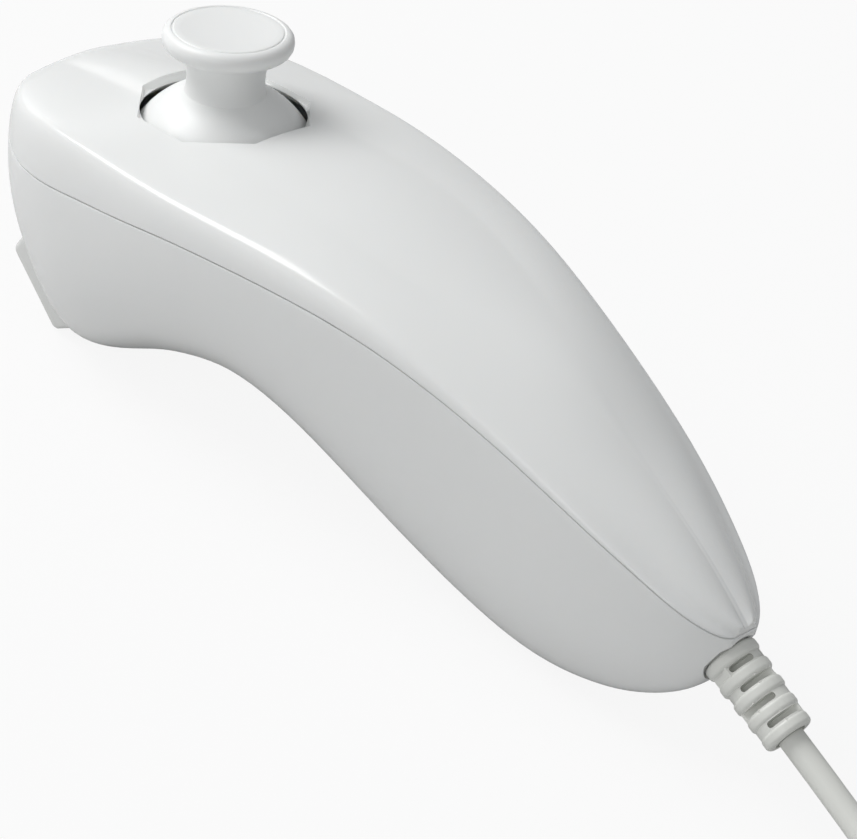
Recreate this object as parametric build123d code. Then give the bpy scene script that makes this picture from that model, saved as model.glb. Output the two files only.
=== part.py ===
from build123d import *
import math
import os

# Millimetres. X across (the hand's left is +X), Y from the buttons (front) to the cord (tail),
# Z up. Y is measured from the front of the housing and moved to the origin on export.

# Housing
BODY_LENGTH = 113.0
BODY_HALF_WIDTH = 19.1
FRONT_ROUND = 22.3          # length over which the front rounds off in plan
FRONT_SQUARENESS = 2.85
TAIL_ROUND = 8.0
TAIL_SQUARENESS = 2.67
WALL = 1.8
SEAM_GAP = 0.15
FAR = 60.0                  # past every face of the controller, for the cutting tools
OVERLAP = 0.3               # how far shapes of one piece run into each other

# Guide curves: (place along a body of the usual length, value)
USUAL_LENGTH = 113.0
HEAD_LENGTH = 34.0          # the head keeps its length, and the handle behind it stretches
WIDTH_CURVE = [(0, 18.0), (34, 19.1), (54, 17.15), (78, 13.0), (98, 9.3), (113, 4.6)]
SEAM_CURVE = [(0, 25.4), (11, 24.15), (27, 27.2), (41, 30.0), (58, 31.55), (70, 31.0),
              (85, 27.95), (100, 23.0), (113, 17.5)]
TOP_CURVE = [(0.4, 28.9), (1.6, 29.8), (4, 30.7), (10, 32.4), (24, 35.4), (38, 36.65), (52, 37.4),
             (61, 36.8), (72, 35.35), (84, 33.1), (94, 28.75), (104, 24.1), (110, 20.45), (112.7, 18.5)]
BOTTOM_CURVE = [(0.4, 14.2), (4, 11.9), (8, 8.8), (13, 4.2), (18, -0.2), (23, 0.8), (29, 4.7), (37, 8.0),
                (46, 10.05), (56, 7.85), (68, 3.7), (80, 0.65), (90, -0.2), (98, 1.45), (104, 4.1),
                (110, 9.05), (112.7, 14.5)]
SHOULDER_RISE = [(0, 8.0), (10, 7.5), (20, 6.8), (38, 4.7), (56, 3.65), (76, 2.55), (98, 1.65), (113, 0.7)]
SHOULDER_INSET = [(0, 1.2), (20, 1.2), (40, 1.2), (70, 1.9), (113, 2.6)]
FACET_CURVE = [(0, 4.5), (20, 5.85), (36, 7.1), (50, 8.6), (64, 7.4), (76, 4.4), (86, 1.45), (95, 0.4), (113, 0.3)]
FACET_DROP = [(0, 0.7), (34, 0.78), (52, 0.8), (70, 0.55), (86, 0.13), (113, 0.08)]
FLANK_BULGE = [(0, 0.06), (14, 0.08), (30, 0.06), (55, 0.22), (80, 0.28), (92, 0.48), (104, 0.65), (113, 0.5)]
SIDE_HANDLE = [(0, 0.69), (20, 0.78), (45, 0.67), (70, 0.69), (113, 0.82)]
BELLY_HANDLE = [(0, 0.84), (20, 0.80), (45, 0.64), (70, 0.70), (113, 0.87)]
STATION_PLACES = [0.4, 1.6, 4, 8, 13, 18, 23, 29, 36, 44, 52, 60, 68, 76, 84, 91, 97, 102, 106, 110, 112.7]
SEAM_PLACES = [-3, 0, 6, 14, 24, 36, 48, 60, 72, 84, 96, 106, 113, 118]
CAVITY_PLACES = [3.6, 6, 9, 13, 18, 24, 30, 37, 44, 52, 60, 68, 76, 84, 91, 97, 102, 105.5]

# Stick: its own frame has the pivot at the origin and is tilted towards the front
STICK_TILT = 6.3
RIM_Y = 25.5
RIM_Z = 35.55
RIM_RADIUS = 11.2           # corner radius of the octagonal recess
RECESS_DEPTH = 1.7
RECESS_FLOOR_RADIUS = 10.25
HOLE_RADIUS = 9.5
PIVOT_DEPTH = 8.2           # pivot below the recess floor
DOME_RADIUS = 11.9
DOME_WALL = 1.0
DOME_CLEARANCE = 0.45
DOME_EDGE_ANGLE = 24.0
NECK_RADIUS = 4.75
CAP_RADIUS = 7.6
CAP_THICKNESS = 2.5
CAP_ROUND = 1.15
CAP_UNDERCUT = 1.2          # from the cap's edge in to where the neck's flare starts
WAIST = 0.3                 # how much the neck draws in
NECK_UPPER = 1.8            # the neck is nearly straight between these two, below the cap
NECK_LOWER = 3.4
FOOT_FLARE = 0.1
CAP_HEIGHT = 17.5           # middle of the cap above the pivot
DISH_RADIUS = 6.1
DISH_DEPTH = 0.45
RIM_PLATE = 1.3
PAD_RADIUS = 13.4
PAD_HEIGHT = 8.0
FLARE_HEIGHT = 5.0          # of the recess's sloping sides, past the rim
SIDES = 8
SIDE_TURN = 180.0 / SIDES
SHAFT_RADIUS = 1.5
TANG_RADIUS = 2.0
SOCKET_WALL = 1.4
AXLE_RADIUS = 1.2
TENON_RADIUS = 0.6
TENON_LENGTH = 1.1
RUNNING = 0.05
MODULE_HALF = 8.4
MODULE_WALL = 1.0
EAR_HALF = 3.0
EAR_TOP = 2.0
FRAME_TOP = -1.6
FRAME_BOTTOM = -6.8
BASE_THICKNESS = 0.8
BOARD_THICKNESS = 1.0
ARCH_INNER = 5.4
ARCH_OUTER = 6.8
ARCH_HALF = 2.6
ARCH_FOOT = 1.4
YOKE = (4.6, 3.2, 2.2)      # half sizes
YOKE_WALL = 1.2
YOKE_CLEARANCE = 0.1
SLOT_CLEARANCE = 0.2
SENSOR_HALF = 3.5
SENSOR_THICKNESS = 3.0
SENSOR_TOP = 0.95
STUD_RADIUS = 1.2
STUD_HEIGHT = 1.2
SEAT_RADIUS = 2.9
SLOT_HALF = 3.7
SHAFT_END = 1.9
TANG_START = 7.5
TANG_TOP = 15.5
SEAT_BOTTOM = -4.1
SEAT_THICKNESS = 0.6
SPRING_WIRE = 0.25
SPRING_RADIUS = 2.2
SPRING_TURNS = 3
PIN_RADIUS = 0.8

# Front buttons
BUTTON_WIDTH = 11.0
BUTTON_HEIGHT = 3.8
BUTTON_ROUND = 1.85
BUTTON_FLANGE = 1.0
BUTTON_WALL = 3.4           # from the front face to the back of the wall
BUTTON_PROUD = 1.6
BUTTON_Z = 17.35
BUTTON_CLEARANCE = 0.3
BUTTON_TRAVEL = 1.0
BUTTON_POCKET = 5.0
BUTTON_ROUNDING = 0.9
TRIGGER_HALF = 11.6
TRIGGER_CLEARANCE = 0.45
TRIGGER_PIVOT = (11.0, 13.0)
TRIGGER_PIN_RADIUS = 1.0
TRIGGER_PIN_LENGTH = 2.2
TRIGGER_WALL = 1.6
TRIGGER_CORNER = 1.0
TRIGGER_OUTLINE = [(4.8, 6.9), (13.9, 0.25), (19.8, 4.0), (18.8, 5.6), (12.6, 14.3), (9.8, 14.3), (7.3, 11.4)]
TRIGGER_HOLLOW = [(6.7, 7.4), (13.3, 2.6), (18.8, 5.9), (18.8, 16.0), (9.0, 16.0), (9.3, 11.4)]
TRIGGER_OPENING = [(3.2, 6.3), (7.6, 15.0), (13.4, 15.0), (20.8, 6.9), (21.9, 4.65), (12.9, -1.1)]
SLOPE = (0.802, -0.597)     # direction of the sloping face in Y and Z
RIB_GAP = 0.2               # from the trigger opening to the ribs
RIB_THICKNESS = 2.6
RIB_HALF = 2.2
RIB_DROP = 6.0
RIB_RISE = 2.1
PIN_LENGTH = 1.9            # of each trigger pin inside its rib
SWITCH_BASE = (12.9, 9.3)   # middle of the trigger's board, on its front
SWITCH_THICKNESS = 1.0
SWITCH_LENGTH = (-3.6, 4.4)
SWITCH_HALF = 6.0
MEMBRANE_RADIUS = 1.7
MEMBRANE_HEIGHT = 1.5
PLUNGER_RADIUS = 1.5
PLUNGER_START = -5.6        # from the front of the trigger's board
PLUNGER_END = -2.9
BRACKET_HALF = 8.0
BRACKET_THICKNESS = 1.2
BRACKET_GAP = 0.05
SLOPING_THICKNESS = 1.3
BRACKET_BEND_Y = 16.7
FOOT_FRONT = 3.0
FOOT_REAR = 2.4
FOOT_SIDE = 2.0
BRACKET_WALL = (12.6, 21.0) # low and high end of the upright behind the button's board
BUTTON_BOARD = (15.0, 20.8)
BUTTON_BOARD_HALF = 7.0
BRACKET_HOLE_RADIUS = 0.95
BRACKET_HEAD_HEIGHT = 0.8
BRACKET_SCREW_DEPTH = 3.0
BRACKET_POST_X = 8.5
BRACKET_POST_Y = 24.0
BRACKET_POST_RADIUS = 1.9
BRACKET_FOOT_Z = 8.0
BRACKET_SCREW_RADIUS = 0.7
BRACKET_SCREW_BORE = 0.8
BRACKET_BORE_DEPTH = 3.2
BRACKET_SCREW_LENGTH = 4.5
BUTTON_SWITCH_Y = 7.6
BUTTON_BOARD_Y = 9.15
BUTTON_REST_GAP = 0.15      # from the button's flange to the wall it rests on
PRESS_GAP = 0.3             # left between the pressed button and its switch

# Screws
SCREW_PLACES = [HEAD_LENGTH + 12.0, BODY_LENGTH - 19.0]
SCREW_HEAD_RADIUS = 2.3
SCREW_HEAD_HEIGHT = 1.5
SCREW_RADIUS = 1.25
SCREW_LENGTH = 11.0
BOSS_RADIUS = 3.3
COUNTERBORE_DEPTH = 3.4
BOSS_GAP = 0.1
POST_HEIGHT = 7.0           # of the lower post, above the counterbore
SOCKET_INSET = 0.6          # the upper post is thinner than the lower one by this
SCREW_CLEARANCE = 0.2
HEAD_CLEARANCE = 0.25
TIP_ROOM = 0.3
THREAD_PLAY = 0.05
CROSS_WIDTH = 0.6
CROSS_LENGTH = 3.2
CROSS_HEIGHT = 1.4

# Cord and strain relief
CORD_RADIUS = 1.5
RELIEF_START = (BODY_LENGTH - 3.05, 14.55)
RELIEF_ANGLE = 21.6
RELIEF_RADIUS = 3.15
RELIEF_CORE = 2.05
RELIEF_RINGS = 5
RING_THICKNESS = 1.5
RING_PITCH = 2.32
RELIEF_FLANGE = 3.9
RELIEF_HOLE_CLEARANCE = 0.15
RELIEF_COLLAR = 2.6
RELIEF_RECESS = 0.3         # gap round the first ring, where it stands in the tail
RELIEF_NECK = 1.5
RELIEF_POCKET = 8.0         # length of the pocket behind the tail's wall
RELIEF_OPENING = 12.0
RELIEF_PLAY = 0.1
RING_ROUND = 0.5
RING_STEP = 0.08            # each ring is smaller than the last by this
WEB_WIDTH = 2.6
WEB_INSET = 0.8
WIRE_RADIUS = 0.38
WIRES = 4
WIRE_PITCH = 0.85
WIRE_CLEARANCE = 2.6        # from the rear screw post to the middle of the wires
JACKET_LENGTH = 6.5
FLANGE_THICKNESS = 1.4
LEAD_SIDE = 18.0
LEAD_DROP = 17.0            # the cord's straight run out of the relief
LEAD_STEPS = (16.0, 30.0, 42.5)
LEAD_LOW = 0.2              # least height of the lead over the table

COIL_GAP = 0.45
COIL_RADIUS = 24.0
COIL_HALF_TURNS = 7
COIL_LIFT = 0.8
END_TURN = 25.75            # width of the turn that brings the plug back over the coil
END_RUN = 10.0              # straight run into the plug's boot
END_CLIMB = (0.27, 0.56, 0.86)
TIE_THICKNESS = 0.6
TIE_WIDTH = 4.0
TIE_CLEARANCE = 0.15
TIE_GAP = 0.4               # from the tie to the plug's shells

# Plug
PLUG_WIDTH = 19.0
PLUG_HEIGHT = 9.4
PLUG_LENGTH = 25.0
PLUG_BOOT_LENGTH = 8.0
NOSE_WIDTH = 11.2
NOSE_HEIGHT = 6.4
NOSE_LENGTH = 8.0
CONTACTS = 6
CONTACT_PITCH = 1.5
LATCH_TRAVEL = 0.9
PLUG_CORNER = 2.8
PLUG_EDGE = 0.8
BOOT_START = 5.6
BOOT_CORNER = 2.7
BOOT_INSET = (3.0, 1.6)
NOSE_SEAT = 6.0             # how far the nose goes into the shells
NOSE_CORNER = 1.2
NOSE_WALL = 1.0
SHROUD_DEPTH = 6.5
SHROUD_HALF = 1.9
KEY_HALF = 2.0
KEY_DEPTH = 2.2
KEY_END = 1.5
CONTACT_HALF = 0.4
CONTACT_START = 0.6
CONTACT_THICKNESS = 0.45
HALF_GAP = 0.05             # from the plug's middle to each shell
LATCH_GAP = 0.25
LATCH_CHANNEL = 2.6
LATCH_PLAY = 0.1
LATCH_THICKNESS = 1.3
LATCH_PROUD = 0.8
HOOK_DEPTH = 2.0
HOOK_LENGTH = 1.5
ARM_REACH = 4.5
ARM_HALF = 2.2
WINDOW = (7.0, 18.0)        # Y of the latch window, from the front of the shells
WINDOW_HALF = 2.9
LATCH_BUTTON_HALF = 2.5
LATCH_BUTTON_PLAY = 0.6

# Main board and its screws, in the stick's frame
BOARD_HALF = 12.6
BOARD_TAIL_HALF = 7.4
BOARD_FRONT = -11.6
BOARD_REAR = BODY_LENGTH - 63.0
BOARD_SCREWS = [(10.4, 10.5), (-10.4, 10.5), (6.0, BOARD_REAR - 6.5), (-6.0, BOARD_REAR - 6.5)]
BOARD_POST_RADIUS = 2.0
BOARD_SCREW_RADIUS = 0.8
BOARD_SCREW_LENGTH = 5.0
BOARD_HEAD_RADIUS = 1.5
BOARD_HEAD_HEIGHT = 0.9
BOARD_WAIST = 16.0          # where the board starts to narrow
BOARD_HOLE_CLEARANCE = 0.15
CHIP_PLACE = 30.0
CHIP_SIDE = 7.0
CHIP_HEIGHT = 1.2
LEG_LENGTH = 1.0
LEG_WIDTH = 0.5
LEG_PITCH = 1.27
ACCELEROMETER_PLACE = (-6.0, 38.0)
ACCELEROMETER_SIZE = (5.0, 5.0, 1.4)
CAN_RADIUS = 1.6
CAN_HEIGHT = 2.4
CAN_PLACES = [(7.2, 30.5), (7.2, 35.0), (-10.5, -2.0)]
SOCKET_SIZE = (9.0, 4.0, 3.0)
SOCKET_SETBACK = 2.2        # from the board's rear edge to the socket's middle
SOCKET_SIDE = 0.7
SOCKET_FLOOR = 0.5
SOCKET_BACK = 1.0
CONNECTOR_WIDTH = 7.4
CONNECTOR_HEIGHT = 1.8
CONNECTOR_DEPTH = 2.6       # from the board's rear edge into the socket
CONNECTOR_PLAY = 0.1
POST_CLEARANCE = 0.6
CONNECTOR_END = BOARD_REAR + 3.0
WIRE_HEIGHT = -6.1

BOTTOM = (Align.CENTER, Align.CENTER, Align.MIN)


def along(place):
    """Where a place on a body of the usual length lies on this one."""
    if place <= HEAD_LENGTH:
        return place
    return HEAD_LENGTH + (place - HEAD_LENGTH) * (BODY_LENGTH - HEAD_LENGTH) / (USUAL_LENGTH - HEAD_LENGTH)


def curve(guide):
    """A smooth function through (place, value) points."""
    points = [(along(place), value) for place, value in guide]
    n = len(points)
    slopes = []
    for i in range(n):
        a = points[max(i - 1, 0)]
        b = points[min(i + 1, n - 1)]
        slopes.append((b[1] - a[1]) / (b[0] - a[0]))

    def value(y):
        y = min(max(y, points[0][0]), points[-1][0])
        i = 0
        while i < n - 2 and y > points[i + 1][0]:
            i += 1
        span = points[i + 1][0] - points[i][0]
        t = (y - points[i][0]) / span
        rise = (1 + 2 * t) * (1 - t) ** 2 * points[i][1] + t * t * (3 - 2 * t) * points[i + 1][1]
        bend = t * (1 - t) ** 2 * slopes[i] - t * t * (1 - t) * slopes[i + 1]
        return rise + bend * span
    return value


STATIONS = [along(place) for place in STATION_PLACES]
CAVITY_STATIONS = [along(place) for place in CAVITY_PLACES]
BODY_START = STATIONS[0]
BODY_END = STATIONS[-1]
width_at = curve(WIDTH_CURVE)
seam_at = curve(SEAM_CURVE)
top_at = curve(TOP_CURVE)
bottom_at = curve(BOTTOM_CURVE)
rise_at = curve(SHOULDER_RISE)
inset_at = curve(SHOULDER_INSET)
facet_at = curve(FACET_CURVE)
drop_at = curve(FACET_DROP)
bulge_at = curve(FLANK_BULGE)
side_at = curve(SIDE_HANDLE)
belly_at = curve(BELLY_HANDLE)


def half_width(y):
    """Half the width at the seam, rounded off at both ends."""
    front = max(0.0, 1 - y / FRONT_ROUND)
    tail = max(0.0, 1 - (BODY_LENGTH - y) / TAIL_ROUND)
    front_share = (1 - front ** FRONT_SQUARENESS) ** (1 / FRONT_SQUARENESS)
    tail_share = (1 - tail ** TAIL_SQUARENESS) ** (1 / TAIL_SQUARENESS)
    return width_at(y) * front_share * tail_share * BODY_HALF_WIDTH / WIDTH_CURVE[1][1]


def section(y, wall=0.0):
    """The housing's cross-section at y, or the cavity's where a wall is given."""
    w = half_width(y - 0.7 * wall) - 0.9 * wall
    seam = seam_at(y)
    top = top_at(y - 0.4 * wall) - 1.1 * wall
    bottom = bottom_at(y) + 1.25 * wall
    if y < 18:
        bottom = bottom_at(y - 0.5 * wall) + 0.9 * wall
    shoulder_x = w - min(inset_at(y), 0.3 * w)
    share = (top - seam) / (top_at(y) - seam_at(y))
    shoulder_z = seam + min(rise_at(y) * share, 0.8 * (top - seam))
    facet_x = min(facet_at(y), 0.6 * shoulder_x)
    facet_z = top - min(drop_at(y), 0.4 * (top - shoulder_z))
    depth = seam - bottom

    def point(x, z):
        return (x, y, z)

    def flank(side):
        dx = shoulder_x - facet_x
        dz = facet_z - shoulder_z
        length = math.hypot(dx, dz)
        bulge = bulge_at(y)
        mid = point(side * ((facet_x + shoulder_x) / 2 + bulge * dz / length),
                    (facet_z + shoulder_z) / 2 + bulge * dx / length)
        return ThreePointArc(point(side * facet_x, facet_z), mid, point(side * shoulder_x, shoulder_z))

    def side_edge(side):
        dx = shoulder_x - facet_x
        dz = facet_z - shoulder_z
        lean = math.atan2(dz, dx) + 4 * bulge_at(y) / math.hypot(dx, dz)
        reach = 0.62 * (w - shoulder_x)
        return Bezier(point(side * shoulder_x, shoulder_z),
                      point(side * (shoulder_x + reach * math.cos(lean)), shoulder_z - reach * math.sin(lean)),
                      point(side * w, seam + 0.62 * (shoulder_z - seam)),
                      point(side * w, seam))

    def lower_edge(side):
        return Bezier(point(side * w, seam),
                      point(side * (w - 0.04 * depth), seam - side_at(y) * depth),
                      point(side * belly_at(y) * w, bottom),
                      point(0, bottom))

    facet = ThreePointArc(point(-facet_x, facet_z), point(0, top), point(facet_x, facet_z))
    edges = [facet, flank(1), side_edge(1), lower_edge(1), lower_edge(-1), side_edge(-1), flank(-1)]
    return Face(Wire(edges))


def lofted(stations, wall=0.0):
    return Solid.make_loft([section(y, wall).outer_wire() for y in stations])


def block(x0, x1, y0, y1, z0, z1):
    return Pos((x0 + x1) / 2, (y0 + y1) / 2, (z0 + z1) / 2) * Box(abs(x1 - x0), abs(y1 - y0), abs(z1 - z0))


def across(points, half):
    """A (Y, Z) outline made into a solid that is 2 * half wide."""
    face = Plane.YZ * make_face(Polyline(points, close=True))
    return extrude(face, half, both=True)


def rod(radius, start, end):
    """A round bar from one point to another."""
    a = Vector(*start)
    b = Vector(*end)
    plane = Plane(origin=a, z_dir=(b - a).normalized())
    return extrude(plane * Circle(radius), (b - a).length)


def seam_tool(offset, up):
    """Everything above (or below) the seam, moved by offset."""
    points = [(along(y), seam_at(along(y)) + offset) for y in SEAM_PLACES]
    line = Spline([(0, y, z) for y, z in points])
    limit = FAR if up else -FAR
    first, start = points[0]
    last, height = points[-1]
    rest = Polyline([(0, last, height), (0, last, limit), (0, first, limit), (0, first, start)])
    face = make_face(Curve() + [line, rest])
    return extrude(face, FAR / 2, dir=(1, 0, 0), both=True)


def local(shape):
    """Moves a shape from the stick's own frame into place."""
    return STICK * shape


def flat(points, plane=Plane.XY):
    return plane * make_face(Polyline(points, close=True))


STICK = Pos(0, RIM_Y, RIM_Z) * Rot(STICK_TILT, 0, 0) * Pos(0, 0, -RECESS_DEPTH - PIVOT_DEPTH)
BOARD_TOP = FRAME_BOTTOM - BASE_THICKNESS
BOARD_BOTTOM = BOARD_TOP - BOARD_THICKNESS
ORIGIN_Y = (BODY_END - BUTTON_PROUD + BODY_START) / 2
parts = {}


def make_housing():
    """Both shells, with everything that is cut into them or stands on them."""
    outer = lofted(STATIONS) & block(-FAR, FAR, -FAR, BODY_LENGTH + FAR, 0, FAR)
    hollow = outer - lofted(CAVITY_STATIONS, WALL)

    # Octagonal recess round the stick, in a thicker pad
    pad = local(Pos(0, 0, PIVOT_DEPTH - RIM_PLATE) * Cylinder(PAD_RADIUS, PAD_HEIGHT, align=BOTTOM))
    hollow += pad & outer
    floor = Pos(0, 0, PIVOT_DEPTH) * RegularPolygon(RECESS_FLOOR_RADIUS, SIDES, rotation=SIDE_TURN)
    slope = (RIM_RADIUS - RECESS_FLOOR_RADIUS) / RECESS_DEPTH
    brim = RECESS_FLOOR_RADIUS + slope * FLARE_HEIGHT
    rim = Pos(0, 0, PIVOT_DEPTH + FLARE_HEIGHT) * RegularPolygon(brim, SIDES, rotation=SIDE_TURN)
    hollow -= local(loft([floor, rim]))
    hollow -= local(Cylinder(HOLE_RADIUS, 2 * PIVOT_DEPTH, align=BOTTOM))
    hollow -= local(Sphere(DOME_RADIUS + DOME_CLEARANCE))

    # Round openings for the strain relief
    relief = relief_plane(0)
    hollow -= extrude(relief * Circle(RELIEF_COLLAR + RELIEF_HOLE_CLEARANCE), RELIEF_OPENING, both=True)
    pocket = relief_plane(-RELIEF_POCKET)
    hollow -= extrude(pocket * Circle(RELIEF_FLANGE + RELIEF_HOLE_CLEARANCE), RELIEF_POCKET - RELIEF_NECK)
    hollow -= extrude(relief_plane(RELIEF_NECK) * Circle(RELIEF_RADIUS + RELIEF_RECESS), RELIEF_OPENING)

    upper = hollow & seam_tool(SEAM_GAP / 2, True)
    lower = hollow & seam_tool(-SEAM_GAP / 2, False)

    for y in SCREW_PLACES:
        seat = bottom_at(y) + COUNTERBORE_DEPTH
        split = seat + POST_HEIGHT
        post = Pos(0, y, 0) * Cylinder(BOSS_RADIUS, split, align=BOTTOM) & outer
        socket = Pos(0, y, split + BOSS_GAP) * Cylinder(BOSS_RADIUS - SOCKET_INSET, FAR, align=BOTTOM) & outer
        lower += post
        upper += socket
        lower -= Pos(0, y, 0) * Cylinder(SCREW_RADIUS + SCREW_CLEARANCE, FAR, align=BOTTOM)
        lower -= Pos(0, y, 0) * Cylinder(SCREW_HEAD_RADIUS + HEAD_CLEARANCE, seat, align=BOTTOM)
        upper -= Pos(0, y, 0) * Cylinder(SCREW_RADIUS, seat + SCREW_LENGTH + TIP_ROOM, align=BOTTOM)

    # Posts that carry the main board, square to it
    for x, v in BOARD_SCREWS:
        post = local(Pos(x, v, BOARD_BOTTOM - FAR) * Cylinder(BOARD_POST_RADIUS, FAR, align=BOTTOM))
        lower += post & outer & seam_tool(-SEAM_GAP / 2, False)
        bore = Cylinder(BOARD_SCREW_RADIUS + THREAD_PLAY, BOARD_SCREW_LENGTH + BOARD_THICKNESS, align=BOTTOM)
        lower -= local(Pos(x, v, BOARD_BOTTOM - BOARD_SCREW_LENGTH - BOARD_THICKNESS) * bore)

    # Front button: hole through the wall and the pocket behind it
    hole = RectangleRounded(BUTTON_WIDTH + 2 * BUTTON_CLEARANCE, BUTTON_HEIGHT + 2 * BUTTON_CLEARANCE, BUTTON_ROUND)
    lower -= extrude(Plane(origin=(0, -BUTTON_PROUD, BUTTON_Z), x_dir=(1, 0, 0), z_dir=(0, 1, 0)) * hole,
                     BUTTON_WALL + 2 * BUTTON_PROUD)
    lip = BUTTON_WIDTH / 2 + BUTTON_FLANGE + BUTTON_CLEARANCE
    half = BUTTON_HEIGHT / 2 + BUTTON_CLEARANCE
    lower -= block(-lip, lip, BUTTON_WALL, BUTTON_WALL + BUTTON_POCKET, BUTTON_Z - half, BUTTON_Z + half)

    # Trigger: opening in the sloping face, and the ribs that hold its pins
    lower -= across(TRIGGER_OPENING, TRIGGER_HALF + TRIGGER_CLEARANCE)
    py, pz = TRIGGER_PIVOT
    for side in (-1, 1):
        inner_x = TRIGGER_HALF + TRIGGER_CLEARANCE + RIB_GAP
        rib = block(side * inner_x, side * (inner_x + RIB_THICKNESS), py - RIB_HALF, py + RIB_HALF,
                    pz - RIB_DROP, pz + RIB_RISE)
        lower += rib & outer
        lower -= rod(TRIGGER_PIN_RADIUS + RUNNING, (side * TRIGGER_HALF, py, pz), (side * (inner_x + PIN_LENGTH), py, pz))

    # Posts for the switch bracket
    for side in (-1, 1):
        place = Pos(side * BRACKET_POST_X, BRACKET_POST_Y, 0)
        lower += place * Cylinder(BRACKET_POST_RADIUS, BRACKET_FOOT_Z, align=BOTTOM) & outer
        bore = Cylinder(BRACKET_SCREW_BORE, BRACKET_SCREW_LENGTH, align=BOTTOM)
        lower -= place * Pos(0, 0, BRACKET_FOOT_Z - BRACKET_BORE_DEPTH) * bore

    parts["upper_shell"] = upper
    parts["lower_shell"] = lower


def relief_plane(s):
    """A plane square to the strain relief's axis, s along it from the tail."""
    a = math.radians(RELIEF_ANGLE)
    y, z = RELIEF_START
    return Plane(origin=(0, y + s * math.cos(a), z - s * math.sin(a)),
                 x_dir=(1, 0, 0), z_dir=(0, math.cos(a), -math.sin(a)))


def make_screws():
    screws = []
    for y in SCREW_PLACES:
        place = Pos(0, y, bottom_at(y) + COUNTERBORE_DEPTH - SCREW_HEAD_HEIGHT)
        head = Cylinder(SCREW_HEAD_RADIUS, SCREW_HEAD_HEIGHT, align=BOTTOM)
        slot = Box(CROSS_WIDTH, CROSS_LENGTH, CROSS_HEIGHT) + Box(CROSS_LENGTH, CROSS_WIDTH, CROSS_HEIGHT)
        shank = Pos(0, 0, SCREW_HEAD_HEIGHT) * Cylinder(SCREW_RADIUS - THREAD_PLAY, SCREW_LENGTH - OVERLAP, align=BOTTOM)
        screws.append(place * (head + shank - slot))
    parts["housing_screws"] = Compound(screws)
    small = []
    for x, v in BOARD_SCREWS:
        head = Pos(x, v, BOARD_TOP) * Cylinder(BOARD_HEAD_RADIUS, BOARD_HEAD_HEIGHT, align=BOTTOM)
        shank = Cylinder(BOARD_SCREW_RADIUS - THREAD_PLAY, BOARD_SCREW_LENGTH, align=BOTTOM)
        shank = Pos(x, v, BOARD_TOP - BOARD_SCREW_LENGTH) * shank
        small.append(local(head + shank))
    parts["board_screws"] = Compound(small)


def make_stick():
    """Cap with its neck and dome, and the shaft that carries it."""
    disc = Pos(0, 0, CAP_HEIGHT) * Cylinder(CAP_RADIUS, CAP_THICKNESS)
    disc = fillet(disc.edges().filter_by(GeomType.CIRCLE), CAP_ROUND)
    under = CAP_HEIGHT - CAP_THICKNESS / 2
    base = math.sqrt(DOME_RADIUS ** 2 - NECK_RADIUS ** 2)
    flare = CAP_RADIUS - CAP_UNDERCUT
    foot = NECK_RADIUS + FOOT_FLARE
    high = under + OVERLAP
    low = base - OVERLAP
    side = Spline([(flare, 0, high), (NECK_RADIUS - WAIST / 2, 0, under - NECK_UPPER),
                   (NECK_RADIUS - WAIST, 0, under - NECK_LOWER), (foot, 0, low)])
    close = Polyline([(foot, 0, low), (0, 0, low), (0, 0, high), (flare, 0, high)])
    neck = revolve(make_face(Curve() + [side, close]), Axis.Z)
    dome = Sphere(DOME_RADIUS) - Sphere(DOME_RADIUS - DOME_WALL)
    edge = DOME_RADIUS * math.sin(math.radians(DOME_EDGE_ANGLE))
    dome &= Pos(0, 0, edge) * Box(FAR, FAR, FAR, align=BOTTOM)
    stem = Cylinder(TANG_RADIUS + SOCKET_WALL, base - TANG_START - OVERLAP, align=BOTTOM)
    cap = disc + neck + dome + Pos(0, 0, TANG_START + OVERLAP) * stem
    dish = (DISH_RADIUS ** 2 + DISH_DEPTH ** 2) / (2 * DISH_DEPTH)
    cap -= Pos(0, 0, CAP_HEIGHT + CAP_THICKNESS / 2 + dish - DISH_DEPTH) * Sphere(dish)
    cap -= Cylinder(TANG_RADIUS, TANG_TOP, align=BOTTOM)
    parts["stick_cap"] = local(cap)

    shaft = Pos(0, 0, -SHAFT_END) * Cylinder(SHAFT_RADIUS, SHAFT_END + TANG_START, align=BOTTOM)
    shaft += Pos(0, 0, -SHAFT_END) * Sphere(SHAFT_RADIUS)
    shaft += Pos(0, 0, TANG_START) * Cylinder(TANG_RADIUS, TANG_TOP - TANG_START, align=BOTTOM)
    shaft += rod(PIN_RADIUS, (0, -YOKE[1] + YOKE_CLEARANCE, 0), (0, YOKE[1] - YOKE_CLEARANCE, 0))
    parts["stick_shaft"] = local(shaft)


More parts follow.
